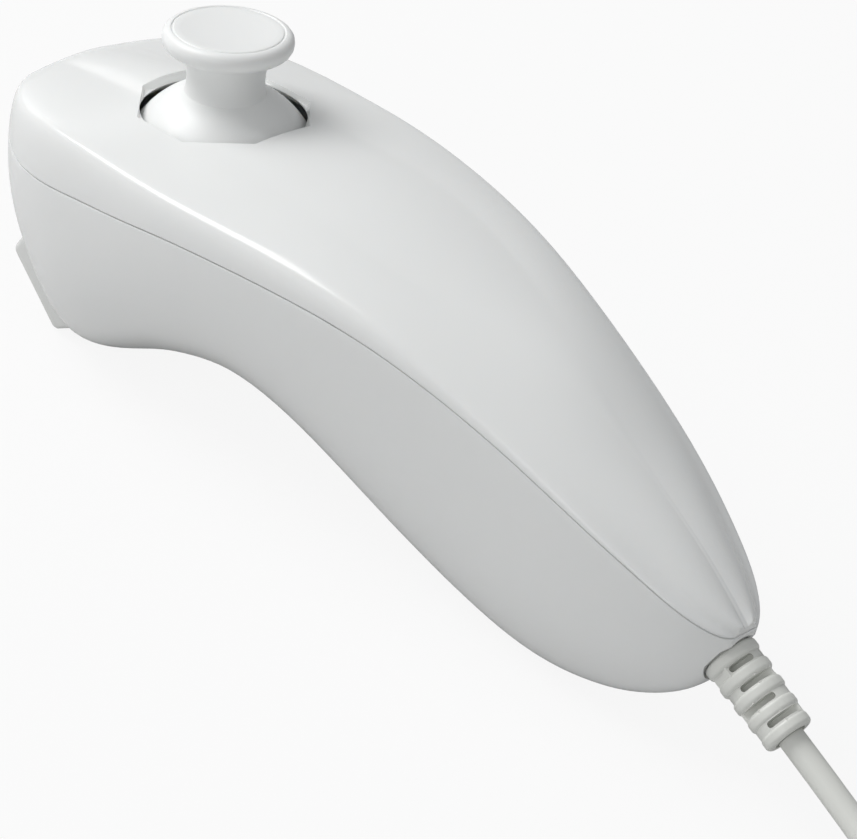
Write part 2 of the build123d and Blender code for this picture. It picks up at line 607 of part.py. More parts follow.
def make_module():
    """The two rockers, the frame they turn in, the sensors and the return spring."""
    stub_end = MODULE_HALF - RUNNING
    tenon_end = MODULE_HALF + TENON_LENGTH
    yoke_x, yoke_y, yoke_z = YOKE
    yoke = Box(2 * yoke_x, 2 * yoke_y, 2 * yoke_z)
    yoke -= Box(2 * (yoke_x - YOKE_WALL), 2 * (SHAFT_RADIUS + YOKE_CLEARANCE), 3 * yoke_z)
    yoke -= rod(PIN_RADIUS + RUNNING, (0, -2 * yoke_y, 0), (0, 2 * yoke_y, 0))
    for side in (-1, 1):
        yoke += rod(AXLE_RADIUS, (side * (yoke_x - OVERLAP), 0, 0), (side * stub_end, 0, 0))
    yoke += rod(TENON_RADIUS, (stub_end - OVERLAP, 0, 0), (tenon_end, 0, 0))
    parts["rocker_lower"] = local(yoke)

    ring = rod(ARCH_OUTER, (-ARCH_HALF, 0, 0), (ARCH_HALF, 0, 0)) - rod(ARCH_INNER, (-FAR, 0, 0), (FAR, 0, 0))
    arch = ring & Box(FAR, FAR, FAR, align=BOTTOM)
    for side in (-1, 1):
        arch += block(-ARCH_HALF, ARCH_HALF, side * ARCH_INNER, side * ARCH_OUTER, -ARCH_FOOT, 0)
        arch += rod(AXLE_RADIUS, (0, side * (ARCH_INNER + OVERLAP), 0), (0, side * stub_end, 0))
    arch += rod(TENON_RADIUS, (0, stub_end - OVERLAP, 0), (0, tenon_end, 0))
    slot = Box(2 * (SHAFT_RADIUS + SLOT_CLEARANCE), 2 * SLOT_HALF, 2 * ARCH_OUTER, align=BOTTOM)
    arch -= Pos(0, 0, ARCH_FOOT) * slot
    parts["rocker_upper"] = local(arch)

    size = 2 * MODULE_HALF
    frame = Pos(0, 0, FRAME_BOTTOM) * Box(size, size, FRAME_TOP - FRAME_BOTTOM, align=BOTTOM)
    frame -= Box(size - 2 * MODULE_WALL, size - 2 * MODULE_WALL, FAR)
    for turn in range(4):
        ear = block(MODULE_HALF - MODULE_WALL, MODULE_HALF, -EAR_HALF, EAR_HALF, FRAME_TOP - OVERLAP, EAR_TOP)
        bore = rod(AXLE_RADIUS + RUNNING, (MODULE_HALF - 2 * MODULE_WALL, 0, 0), (MODULE_HALF + MODULE_WALL, 0, 0))
        frame += Rot(0, 0, 90 * turn) * ear
        frame -= Rot(0, 0, 90 * turn) * bore
    parts["stick_module_frame"] = local(frame)

    base = Pos(0, 0, BOARD_TOP) * Box(size, size, BASE_THICKNESS, align=BOTTOM)
    base += Pos(0, 0, FRAME_BOTTOM - OVERLAP) * Cylinder(STUD_RADIUS, STUD_HEIGHT + OVERLAP, align=BOTTOM)
    parts["stick_module_base"] = local(base)

    sensor = block(MODULE_HALF, MODULE_HALF + SENSOR_THICKNESS, -SENSOR_HALF, SENSOR_HALF, BOARD_TOP, SENSOR_TOP)
    sensor -= rod(TENON_RADIUS + RUNNING, (0, 0, 0), (tenon_end + SLOT_CLEARANCE, 0, 0))
    parts["side_sensor"] = local(sensor)
    parts["rear_sensor"] = local(Rot(0, 0, 90) * sensor)

    rise = SEAT_BOTTOM - FRAME_BOTTOM - 2 * SPRING_WIRE
    coil = Helix(rise / SPRING_TURNS, rise, SPRING_RADIUS)
    start = Plane(origin=coil @ 0, z_dir=coil % 0)
    spring = sweep(start * Circle(SPRING_WIRE), path=coil)
    parts["return_spring"] = local(Pos(0, 0, FRAME_BOTTOM + SPRING_WIRE) * spring)
    seat = Pos(0, 0, SEAT_BOTTOM) * Cylinder(SEAT_RADIUS, SEAT_THICKNESS, align=BOTTOM)
    parts["spring_seat"] = local(seat)


def make_board():
    """Main board with its components."""
    outline = [(-BOARD_HALF, BOARD_FRONT), (BOARD_HALF, BOARD_FRONT), (BOARD_HALF, BOARD_WAIST),
               (BOARD_TAIL_HALF, BOARD_REAR), (-BOARD_TAIL_HALF, BOARD_REAR), (-BOARD_HALF, BOARD_WAIST)]
    board = extrude(Pos(0, 0, BOARD_BOTTOM) * flat(outline), BOARD_THICKNESS)
    for x, v in BOARD_SCREWS:
        board -= Pos(x, v, BOARD_BOTTOM) * Cylinder(BOARD_SCREW_RADIUS + BOARD_HOLE_CLEARANCE, 3 * BOARD_THICKNESS)
    placed = local(board)
    placed -= Pos(0, SCREW_PLACES[0], 0) * Cylinder(BOSS_RADIUS + POST_CLEARANCE, FAR, align=BOTTOM)
    parts["main_board"] = placed

    chip = Pos(0, CHIP_PLACE, BOARD_TOP) * Box(CHIP_SIDE, CHIP_SIDE, CHIP_HEIGHT, align=BOTTOM)
    leg = Box(LEG_LENGTH, LEG_WIDTH, LEG_WIDTH, align=BOTTOM)
    legs = [Pos(side * (CHIP_SIDE + LEG_LENGTH - 0.2) / 2, CHIP_PLACE + step * LEG_PITCH, BOARD_TOP) * leg
            for side in (-1, 1) for step in (-2, -1, 0, 1, 2)]
    parts["microcontroller"] = local(chip + legs)
    x, v = ACCELEROMETER_PLACE
    parts["accelerometer"] = local(Pos(x, v, BOARD_TOP) * Box(*ACCELEROMETER_SIZE, align=BOTTOM))
    can = Cylinder(CAN_RADIUS, CAN_HEIGHT, align=BOTTOM)
    parts["capacitors"] = local(Compound([Pos(x, v, BOARD_TOP) * can for x, v in CAN_PLACES]))
    width, depth, height = SOCKET_SIZE
    socket = Pos(0, BOARD_REAR - SOCKET_SETBACK, BOARD_TOP) * Box(width, depth, height, align=BOTTOM)
    mouth = Box(width - 2 * SOCKET_SIDE, depth - SOCKET_BACK, height - 2 * SOCKET_FLOOR, align=BOTTOM)
    socket -= Pos(0, BOARD_REAR - SOCKET_SETBACK + SOCKET_BACK, BOARD_TOP + SOCKET_FLOOR) * mouth
    parts["cable_socket"] = local(socket)
    length = CONNECTOR_END - (BOARD_REAR - CONNECTOR_DEPTH)
    connector = Box(CONNECTOR_WIDTH, length, CONNECTOR_HEIGHT, align=BOTTOM)
    place = Pos(0, CONNECTOR_END - length / 2, BOARD_TOP + SOCKET_FLOOR + CONNECTOR_PLAY)
    parts["cable_connector"] = local(place * connector)


def make_buttons():
    """Front button, trigger, and the switches behind them."""
    face = RectangleRounded(BUTTON_WIDTH, BUTTON_HEIGHT, BUTTON_ROUND)
    front = Plane(origin=(0, BODY_START - BUTTON_PROUD, BUTTON_Z), x_dir=(1, 0, 0), z_dir=(0, 1, 0))
    button = extrude(front * face, BUTTON_WALL + BUTTON_PROUD)
    button = fillet(button.edges().group_by(Axis.Y)[0], BUTTON_ROUNDING)
    lip = BUTTON_WIDTH / 2 + BUTTON_FLANGE
    flange_y = BUTTON_WALL + BUTTON_REST_GAP
    button += block(-lip, lip, flange_y, flange_y + BUTTON_FLANGE,
                    BUTTON_Z - BUTTON_HEIGHT / 2, BUTTON_Z + BUTTON_HEIGHT / 2)
    stem_end = BUTTON_SWITCH_Y - BUTTON_TRAVEL - PRESS_GAP
    button += rod(PLUNGER_RADIUS, (0, BUTTON_WALL, BUTTON_Z), (0, stem_end, BUTTON_Z))
    parts["front_button"] = button

    outline = flat(TRIGGER_OUTLINE, Plane.YZ)
    outline = fillet(outline.vertices().sort_by(Axis.Z)[0:1] + outline.vertices().sort_by(Axis.Y)[0:1], TRIGGER_CORNER)
    body = extrude(outline, TRIGGER_HALF, both=True)
    room = across(TRIGGER_HOLLOW, TRIGGER_HALF - TRIGGER_WALL)
    trigger = body - room
    py, pz = TRIGGER_PIVOT
    for side in (-1, 1):
        start = side * (TRIGGER_HALF - OVERLAP)
        trigger += rod(TRIGGER_PIN_RADIUS, (start, py, pz), (side * (TRIGGER_HALF + TRIGGER_PIN_LENGTH), py, pz))
    trigger += switch_rod(PLUNGER_RADIUS, PLUNGER_START, PLUNGER_END)
    parts["trigger"] = trigger

    front, rear = SWITCH_LENGTH
    parts["trigger_board"] = switch_block(SWITCH_HALF, front, rear, 0, SWITCH_THICKNESS)
    parts["trigger_membrane"] = switch_rod(MEMBRANE_RADIUS, -MEMBRANE_HEIGHT, 0)
    under = SWITCH_THICKNESS + BRACKET_GAP
    bracket = switch_block(BRACKET_HALF, front - 0.2, rear + 0.4, under, under + SLOPING_THICKNESS)
    foot = BRACKET_FOOT_Z + BRACKET_GAP
    foot_top = foot + BRACKET_THICKNESS
    bracket += block(-BRACKET_HALF, BRACKET_HALF, BRACKET_BEND_Y, BRACKET_POST_Y - FOOT_FRONT + 0.5, foot, foot_top)
    wide = BRACKET_POST_X + FOOT_SIDE
    bracket += block(-wide, wide, BRACKET_POST_Y - FOOT_FRONT, BRACKET_POST_Y + FOOT_REAR, foot, foot_top)
    wall_y = BUTTON_BOARD_Y + SWITCH_THICKNESS + BRACKET_GAP
    low, high = BRACKET_WALL
    bracket += block(-BRACKET_HALF, BRACKET_HALF, wall_y, wall_y + BRACKET_THICKNESS, low, high)
    for side in (-1, 1):
        bracket -= Pos(side * BRACKET_POST_X, BRACKET_POST_Y, 0) * Cylinder(BRACKET_HOLE_RADIUS, 2 * FAR)
    parts["switch_bracket"] = bracket
    low, high = BUTTON_BOARD
    board_back = BUTTON_BOARD_Y + SWITCH_THICKNESS
    parts["button_board"] = block(-BUTTON_BOARD_HALF, BUTTON_BOARD_HALF, BUTTON_BOARD_Y, board_back, low, high)
    parts["button_membrane"] = rod(MEMBRANE_RADIUS, (0, BUTTON_SWITCH_Y, BUTTON_Z), (0, BUTTON_BOARD_Y, BUTTON_Z))
    screws = []
    for side in (-1, 1):
        place = Pos(side * BRACKET_POST_X, BRACKET_POST_Y, BRACKET_FOOT_Z)
        head = Pos(0, 0, BRACKET_THICKNESS + BRACKET_GAP) * Cylinder(BOARD_HEAD_RADIUS, BRACKET_HEAD_HEIGHT, align=BOTTOM)
        shank = Pos(0, 0, -BRACKET_SCREW_DEPTH) * Cylinder(BRACKET_SCREW_RADIUS, BRACKET_SCREW_LENGTH, align=BOTTOM)
        screws.append(place * (head + shank))
    parts["bracket_screws"] = Compound(screws)


def switch_point(s, n):
    """A point of the trigger's switch: s along the sloping board, n inwards from its front."""
    y0, z0 = SWITCH_BASE
    return (y0 + s * SLOPE[0] - n * SLOPE[1], z0 + s * SLOPE[1] + n * SLOPE[0])


def switch_block(half, s0, s1, n0, n1):
    return across([switch_point(s0, n0), switch_point(s1, n0), switch_point(s1, n1), switch_point(s0, n1)], half)


def switch_rod(radius, n0, n1):
    y0, z0 = switch_point(0, n0)
    y1, z1 = switch_point(0, n1)
    return rod(radius, (0, y0, z0), (0, y1, z1))


def make_relief():
    """Ringed strain relief: rings joined by a core and by webs that alternate."""
    ring_start = RELIEF_NECK + RELIEF_PLAY
    inner_end = -RELIEF_NECK - FLANGE_THICKNESS
    relief = extrude(relief_plane(inner_end) * Circle(RELIEF_FLANGE), FLANGE_THICKNESS - RELIEF_PLAY)
    relief += extrude(relief_plane(inner_end) * Circle(RELIEF_COLLAR), ring_start - inner_end + 2 * RELIEF_PLAY)
    length = RING_PITCH * (RELIEF_RINGS - 1) + RING_THICKNESS
    relief += extrude(relief_plane(ring_start) * Circle(RELIEF_CORE), length)
    for i in range(RELIEF_RINGS):
        radius = RELIEF_RADIUS - RING_STEP * i
        ring = extrude(relief_plane(ring_start + i * RING_PITCH) * Circle(radius), RING_THICKNESS)
        relief += fillet(ring.edges().filter_by(GeomType.CIRCLE), RING_ROUND)
        if i < RELIEF_RINGS - 1:
            gap = relief_plane(ring_start + i * RING_PITCH + RING_THICKNESS / 2)
            web = Rectangle(2 * radius - WEB_INSET, WEB_WIDTH)
            relief += extrude(gap * Rot(0, 0, 90 * (i % 2)) * web, RING_PITCH)
    parts["strain_relief"] = relief
    return ring_start + length


def make_inner_cable():
    """The cord's end inside the housing, and its wires round the rear screw post to the board."""
    inner_end = -RELIEF_NECK - FLANGE_THICKNESS
    jacket_end = inner_end - JACKET_LENGTH
    parts["inner_cable"] = extrude(relief_plane(jacket_end) * Circle(CORD_RADIUS), JACKET_LENGTH)
    post_y = SCREW_PLACES[1]
    wires = []
    for i in range(WIRES):
        dx = (i - (WIRES - 1) / 2) * WIRE_PITCH
        first = relief_plane(jacket_end).from_local_coords((dx, 0, 0))
        second = relief_plane(jacket_end - 1.6).from_local_coords((dx, 0, 0))
        side = BOSS_RADIUS + WIRE_CLEARANCE + dx
        rear = (STICK * Pos(dx * 1.5, CONNECTOR_END + 3.0, WIRE_HEIGHT)).position
        last = (STICK * Pos(dx * 1.5, CONNECTOR_END, WIRE_HEIGHT)).position
        points = [first, second, (side, post_y + 1.8, second.Z + 1.4), (side, post_y - 4.5, second.Z + 5.0), rear, last]
        path = FilletPolyline(points, radius=[0.7, 1.6, 2.2, 1.0])
        start = Plane(origin=path @ 0, z_dir=path % 0)
        wires.append(sweep(start * Circle(WIRE_RADIUS), path=path))
    parts["cable_wires"] = Compound(wires)


def corner_radii(points):
    """Each corner's radius: 0.45 of its shorter run over the tangent of half the turn."""
    radii = []
    for a, b, c in zip(points, points[1:], points[2:]):
        before = Vector(*b) - Vector(*a)
        after = Vector(*c) - Vector(*b)
        turn = math.radians(before.get_angle(after))
        radii.append(0.45 * min(before.length, after.length) / math.tan(turn / 2))
    return radii


def tube(points, name):
    radii = corner_radii(points)
    path = FilletPolyline(points, radius=radii)
    start = Plane(origin=path @ 0, z_dir=path % 0)
    solid = sweep(start * Circle(CORD_RADIUS), path=path)
    expected = math.pi * CORD_RADIUS ** 2 * path.length
    print(name, "radii", [round(r, 1) for r in radii], "length", round(path.length, 1),
          "volume", round(solid.volume), "of", round(expected))
    parts[name] = solid
    return path.length


def make_cord(relief_end):
    a = math.radians(RELIEF_ANGLE)
    y0 = RELIEF_START[0] + relief_end * math.cos(a)
    z0 = RELIEF_START[1] - relief_end * math.sin(a)
    low = CORD_RADIUS + COIL_LIFT
    near_y = y0 + LEAD_DROP * math.cos(a)
    first, second, third = LEAD_STEPS
    lead = [(0, y0, z0), (0, near_y, z0 - LEAD_DROP * math.sin(a)),
            (LEAD_SIDE / 3, near_y + first, CORD_RADIUS + LEAD_LOW),
            (LEAD_SIDE, near_y + second, low), (LEAD_SIDE, near_y + third, low)]
    total = tube(lead, "cord_lead")

    # Coil: half turns that close in on the lower layer, climb, and open out on the upper one
    pitch = 2 * CORD_RADIUS + COIL_GAP
    x, y, z = lead[-1]
    heading = 1
    edges = [Line((x, y, z), (x, y + 2 * CORD_RADIUS, z))]
    y += 2 * CORD_RADIUS
    axis_y = y
    samples = []

    def half_turn(radius):
        nonlocal x, heading
        far = x - heading * 2 * radius
        mid = (x - heading * radius, y + heading * radius, z)
        edges.append(ThreePointArc((x, y, z), mid, (far, y, z)))
        x = far
        heading = -heading

    for k in range(COIL_HALF_TURNS):
        half_turn(COIL_RADIUS - k * pitch / 2)
    climb = COIL_RADIUS - COIL_HALF_TURNS * pitch / 2
    tilt = math.asin(pitch / (2 * climb))
    for quarter in (1, 2):
        sin45 = math.sin(math.radians(45))
        along = heading * climb
        inward = -heading * climb
        if quarter == 1:
            mid = (x + inward * (1 - sin45) * math.cos(tilt), y + along * sin45, z + climb * (1 - sin45) * math.sin(tilt))
            end = (x + inward * math.cos(tilt), y + along, z + climb * math.sin(tilt))
        else:
            mid = (x + inward * sin45 * math.cos(tilt), y - along * (1 - sin45), z + climb * sin45 * math.sin(tilt))
            end = (x + inward * math.cos(tilt), y - along, z + climb * math.sin(tilt))
        edges.append(ThreePointArc((x, y, z), mid, end))
        x, y, z = end
    heading = -heading
    y = axis_y
    for k in reversed(range(COIL_HALF_TURNS)):
        half_turn(COIL_RADIUS - k * pitch / 2)
    end_y = y + heading * 2 * CORD_RADIUS
    edges.append(Line((x, y, z), (x, end_y, z)))
    path = Wire(edges)
    start = Plane(origin=edges[0] @ 0, z_dir=(0, 1, 0))
    coil = sweep(start * Circle(CORD_RADIUS), path=path)
    parts["cord_coil"] = coil
    steps = 900
    for i in range(steps + 1):
        samples.append((i * path.length / steps, path @ (i / steps)))
    gap = min((p - q).length for i, (s, p) in enumerate(samples) for t, q in samples[i + 20:]
              if t - s > 4 * CORD_RADIUS)
    print("cord_coil length", round(path.length, 1), "least gap to itself", round(gap - 2 * CORD_RADIUS, 2),
          "volume", round(coil.volume), "of", round(math.pi * CORD_RADIUS ** 2 * path.length))
    total += path.length

    # The tie sits between the two layers' centres, clear of both inner strands where they curve away
    lower_centre = LEAD_SIDE - COIL_RADIUS
    upper_centre = x + COIL_RADIUS
    tie_x = (lower_centre + upper_centre) / 2
    inner = COIL_RADIUS - (COIL_HALF_TURNS - 1) * pitch / 2 - CORD_RADIUS
    reach = abs(lower_centre - upper_centre) / 2 + TIE_WIDTH / 2
    near = math.sqrt(inner ** 2 - reach ** 2) - TIE_CLEARANCE
    far = COIL_RADIUS + CORD_RADIUS + TIE_CLEARANCE
    bottom = COIL_LIFT - TIE_CLEARANCE
    top = COIL_LIFT + 2 * CORD_RADIUS + pitch + TIE_CLEARANCE
    t = TIE_THICKNESS
    band = block(tie_x - TIE_WIDTH / 2, tie_x + TIE_WIDTH / 2, axis_y + near - t, axis_y + far + t, bottom - t, top + t)
    band -= block(tie_x - TIE_WIDTH, tie_x + TIE_WIDTH, axis_y + near, axis_y + far, bottom, top)
    parts["cord_tie"] = band

    # The cord turns back over the coil, where the plug lies, with its shells clear of the tie
    plug_x = x + END_TURN
    plug_y = axis_y + near - t - TIE_GAP - PLUG_LENGTH - PLUG_BOOT_LENGTH
    plug_z = COIL_LIFT + 2 * CORD_RADIUS + pitch + TIE_CLEARANCE + PLUG_HEIGHT / 2
    side = END_TURN / (1 + math.sqrt(2))
    slant = side / math.sqrt(2)
    turn_y = plug_y - END_RUN
    first, second, third = [z + share * (plug_z - z) for share in END_CLIMB]
    end = [(x, end_y, z), (x, (end_y + turn_y) / 2, z), (x, turn_y, first), (x + slant, turn_y - slant, second),
           (plug_x - slant, turn_y - slant, third), (plug_x, turn_y, plug_z), (plug_x, plug_y, plug_z)]
    total += tube(end, "cord_end")
    print("cord length", round(total))
    make_plug(Pos(plug_x, plug_y, plug_z) * Rot(0, 0, 180))


def make_plug(place):
    """Plug on the cord's far end, made pointing along -Y from its boot and then laid on the coil."""
    front = -PLUG_BOOT_LENGTH - PLUG_LENGTH

    def at(shape):
        return place * shape

    section_plane = Plane(origin=(0, -PLUG_BOOT_LENGTH, 0), x_dir=(1, 0, 0), z_dir=(0, -1, 0))
    boot_plane = Plane(origin=(0, 0, 0), x_dir=(1, 0, 0), z_dir=(0, -1, 0))
    outline = RectangleRounded(PLUG_WIDTH, PLUG_HEIGHT, PLUG_CORNER)
    inset_x, inset_z = BOOT_INSET
    shoulder = RectangleRounded(PLUG_WIDTH - inset_x, PLUG_HEIGHT - inset_z, PLUG_CORNER)
    boot = loft([boot_plane * RectangleRounded(BOOT_START, BOOT_START, BOOT_CORNER), section_plane * shoulder])
    parts["plug_boot"] = at(boot)
    body = extrude(section_plane * outline, PLUG_LENGTH)
    body = fillet(body.edges().group_by(Axis.Y)[-1] + body.edges().group_by(Axis.Y)[0], PLUG_EDGE)
    nose_back = front + NOSE_SEAT
    body -= block(-NOSE_WIDTH / 2, NOSE_WIDTH / 2, -FAR, nose_back, -NOSE_HEIGHT / 2, NOSE_HEIGHT / 2)
    inner_face = NOSE_WIDTH / 2 + LATCH_GAP
    window_start = front + WINDOW[0]
    window_end = front + WINDOW[1]
    for side in (-1, 1):
        body -= block(side * inner_face, side * PLUG_WIDTH, window_start, window_end, -WINDOW_HALF, WINDOW_HALF)
        channel = side * (inner_face + LATCH_CHANNEL)
        body -= block(side * inner_face, channel, -FAR, window_start + OVERLAP, -WINDOW_HALF, WINDOW_HALF)
    half = Box(2 * FAR, 2 * FAR, FAR, align=BOTTOM)
    parts["plug_top_shell"] = at(body & Pos(0, 0, HALF_GAP) * half)
    parts["plug_bottom_shell"] = at(body & Pos(0, 0, -HALF_GAP - FAR) * half)

    nose_plane = Plane(origin=(0, nose_back, 0), x_dir=(1, 0, 0), z_dir=(0, -1, 0))
    nose = extrude(nose_plane * RectangleRounded(NOSE_WIDTH, NOSE_HEIGHT, NOSE_CORNER), NOSE_SEAT + NOSE_LENGTH)
    tip = front - NOSE_LENGTH
    shroud = NOSE_WIDTH / 2 - NOSE_WALL
    nose -= block(-shroud, shroud, -FAR, tip + SHROUD_DEPTH, -SHROUD_HALF, SHROUD_HALF)
    nose -= block(-KEY_HALF, KEY_HALF, -FAR, front - KEY_END, KEY_DEPTH, NOSE_HEIGHT)
    parts["plug_nose"] = at(nose)
    strips = []
    floor = -SHROUD_HALF + HALF_GAP
    strip = block(-CONTACT_HALF, CONTACT_HALF, tip + CONTACT_START, tip + SHROUD_DEPTH - LATCH_PLAY,
                  floor, floor + CONTACT_THICKNESS)
    for i in range(CONTACTS):
        strips.append(at(Pos((i - (CONTACTS - 1) / 2) * CONTACT_PITCH, 0, 0) * strip))
    parts["plug_contacts"] = Compound(strips)
    for side, name in ((-1, "plug_latch_left"), (1, "plug_latch_right")):
        arm_in = inner_face + LATCH_TRAVEL + LATCH_PLAY
        arm_start = front - ARM_REACH
        button = block(side * arm_in, side * (PLUG_WIDTH / 2 + LATCH_PROUD), window_start + LATCH_BUTTON_PLAY,
                       window_end - LATCH_BUTTON_PLAY, -LATCH_BUTTON_HALF, LATCH_BUTTON_HALF)
        arm = block(side * arm_in, side * (arm_in + LATCH_THICKNESS), arm_start, window_start + LATCH_THICKNESS,
                    -ARM_HALF, ARM_HALF)
        hook = block(side * arm_in, side * (arm_in + HOOK_DEPTH), arm_start, arm_start + HOOK_LENGTH,
                     -ARM_HALF, ARM_HALF)
        parts[name] = at(button + arm + hook)


make_housing()
make_screws()
make_stick()
make_module()
make_board()
make_buttons()
relief_end = make_relief()
make_inner_cable()
make_cord(relief_end)

os.makedirs("parts", exist_ok=True)
for name, shape in parts.items():
    placed = Pos(0, -ORIGIN_Y, 0) * shape
    export_step(placed, os.path.join("parts", name + ".step"))
print(len(parts), "pieces; origin at y", round(ORIGIN_Y, 3))
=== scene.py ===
"""Finishes the housing, stick, buttons, cord and plug of a one-handed motion controller."""
import math

import bmesh
import bpy
from bpy.props import FloatProperty, FloatVectorProperty, IntProperty, PointerProperty
from mathutils import Matrix, Vector


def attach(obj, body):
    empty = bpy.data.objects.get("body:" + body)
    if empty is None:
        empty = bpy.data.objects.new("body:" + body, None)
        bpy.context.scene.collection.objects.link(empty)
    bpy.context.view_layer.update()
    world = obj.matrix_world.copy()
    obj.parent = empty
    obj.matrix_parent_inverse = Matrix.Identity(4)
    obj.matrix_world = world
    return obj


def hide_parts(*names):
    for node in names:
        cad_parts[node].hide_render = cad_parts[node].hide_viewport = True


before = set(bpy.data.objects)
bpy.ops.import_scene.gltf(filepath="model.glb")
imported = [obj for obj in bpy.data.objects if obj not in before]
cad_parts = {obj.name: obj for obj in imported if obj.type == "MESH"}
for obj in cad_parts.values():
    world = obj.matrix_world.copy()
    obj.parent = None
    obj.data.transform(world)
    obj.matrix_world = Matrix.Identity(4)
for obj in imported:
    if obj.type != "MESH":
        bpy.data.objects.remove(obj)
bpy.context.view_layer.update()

bl_info = {
    "name": "Motion controller finish",
    "version": (1, 0, 0),
    "blender": (4, 5, 0),
    "location": "View3D > Sidebar > Controller",
    "description": "Smooth housing, stick, buttons, cord and plug for the motion controller",
    "category": "Object",
}

MM = 0.001
BODY_LENGTH = 113.0         # housing, from its front to the tail
ORIGIN_Y = 55.75            # the part's origin, from the front of the housing

# Guide curves of the housing: (place along the length, value), in millimetres
WIDTH_CURVE = [(0, 18.0), (34, 19.1), (54, 17.15), (78, 13.0), (98, 9.3), (113, 4.6)]
SEAM_CURVE = [(0, 25.4), (11, 24.15), (27, 27.2), (41, 30.0), (58, 31.55), (70, 31.0),
              (85, 27.95), (100, 23.0), (113, 17.5)]
TOP_CURVE = [(0.4, 28.9), (1.6, 29.8), (4, 30.7), (10, 32.4), (24, 35.4), (38, 36.65), (52, 37.4),
             (61, 36.8), (72, 35.35), (84, 33.1), (94, 28.75), (104, 24.1), (110, 20.45), (112.7, 18.5)]
BOTTOM_CURVE = [(0.4, 14.2), (4, 11.9), (8, 8.8), (13, 4.2), (18, -0.2), (23, 0.8), (29, 4.7), (37, 8.0),
                (46, 10.05), (56, 7.85), (68, 3.7), (80, 0.65), (90, -0.2), (98, 1.45), (104, 4.1),
                (110, 9.05), (112.7, 14.5)]
SHOULDER_RISE = [(0, 8.0), (10, 7.5), (20, 6.8), (38, 4.7), (56, 3.65), (76, 2.55), (98, 1.65), (113, 0.7)]
SHOULDER_INSET = [(0, 1.2), (20, 1.2), (40, 1.2), (70, 1.9), (113, 2.6)]
FACET_CURVE = [(0, 4.5), (20, 5.85), (36, 7.1), (50, 8.6), (64, 7.4), (76, 4.4), (86, 1.45), (95, 0.4),
               (113, 0.3)]
FACET_DROP = [(0, 0.7), (34, 0.78), (52, 0.8), (70, 0.55), (86, 0.13), (113, 0.08)]
FLANK_BULGE = [(0, 0.06), (14, 0.08), (30, 0.06), (55, 0.22), (80, 0.28), (92, 0.48), (104, 0.65), (113, 0.5)]
SIDE_HANDLE = [(0, 0.69), (20, 0.78), (45, 0.67), (70, 0.69), (113, 0.82)]
BELLY_HANDLE = [(0, 0.84), (20, 0.80), (45, 0.64), (70, 0.70), (113, 0.87)]

# Places of the cross-sections, and the shares at which each stretch of a section gets its points
STATIONS = [0.4, 0.9, 1.8, 3.2, 5, 8, 11.5, 15, 18, 21, 25, 31, 37, 44, 52, 60, 68, 76, 83, 89, 94, 98.5,
            102.5, 105.8, 108.4, 110.4, 111.7, 112.4, 112.7]
CAVITY_STATIONS = [3.6, 5, 8, 12, 17, 22, 26, 31, 37, 44, 52, 60, 68, 76, 83, 89, 94, 98.5, 102.5, 105.5]
CREST_SHARES = (0, 0.35, 0.7, 0.94)
FLANK_SHARES = (0.04, 0.18, 0.4, 0.62, 0.82, 0.95)
SHOULDER_SHARES = (0.1, 0.3, 0.5, 0.72, 1.0)
BELLY_SHARES = (0.1, 0.22, 0.34, 0.46, 0.58, 0.7, 0.8, 0.9, 1.0)
END_SHARES = (0.92, 0.7, 0.4)               # rings that close each end of a body

FRONT_ROUND, FRONT_POWER = 22.3, 2.85       # rounded plan of the front
TAIL_ROUND, TAIL_POWER = 8.0, 2.67          # and of the tail
CHIN_END = 18                               # ahead of this the underside slopes up to the front
FADE_START, FADE_LENGTH = 84.0, 12.0        # where the facets fade into a smooth tail
FACET_FADE = 0.95                           # share of the facets' drop that fades
SHOULDER_PULL = 0.62                        # reach of the shoulder's handles

SEAM_NEAR, SEAM_TURN = 0.2, 50              # edges this near the seam and this sharp are rounded
BLOCK_SIDE, BLOCK_TOP, BLOCK_BOTTOM = 30, 70.0, -20.0       # cutting blocks reach past the housing

# Recess and hole round the stick, in the stick's own frame
STICK_Y, STICK_Z, STICK_LEAN = 25.5, 35.55, 6.3
PIVOT_DEPTH = 9.9                           # from the housing's top down to the stick's pivot
RECESS_SIDES, RECESS_RADIUS, RECESS_RIM = 8, 10.25, 11.2
RECESS_DEPTH, RECESS_LOW, RECESS_HIGH = 1.7, 8.2, 14.2
HOLE_RADIUS = 9.7
UNDERCUT_RADIUS, UNDERCUT_TOP, UNDERCUT_LOW, UNDERCUT_HIGH = 11.6, 9.65, 6.0, 8.08
COLLAR_RADIUS, COLLAR_LOW = 13.4, 6.9       # solid plastic left round the hole

# Openings of the lower shell
TRIGGER_OPENING = [(3.2, 6.3), (7.6, 15.0), (13.4, 15.0), (20.8, 6.9), (21.9, 4.65), (12.9, -1.1)]
TRIGGER_HALF_WIDTH = 12.05
BUTTON_HALF_WIDTH, BUTTON_LOW, BUTTON_HIGH = 5.8, 15.15, 19.55
SCREW_PLACES, SCREW_RECESS_RADIUS, SCREW_RECESS_DEPTH = (46, 94), 2.55, 3.4

# Stick
CAP_PROFILE = [(0, 18.28), (2, 18.3), (4, 18.4), (5.4, 18.54), (6.0, 18.6), (6.24, 18.57), (6.36, 18.44),
               (6.5, 18.44), (6.62, 18.56), (6.95, 18.52), (7.25, 18.3), (7.52, 17.95), (7.6, 17.45),
               (7.54, 16.95), (7.3, 16.52), (6.9, 16.24), (6.3, 16.1), (5.6, 15.9), (5.05, 15.4),
               (4.72, 14.6), (4.56, 13.6), (4.52, 12.6), (4.56, 11.8), (4.62, 11.2)]
DOME_RADIUS, DOME_INSIDE = 11.9, 10.9
DOME_START_RADIUS, DOME_END, DOME_STEPS = 4.72, 24, 16

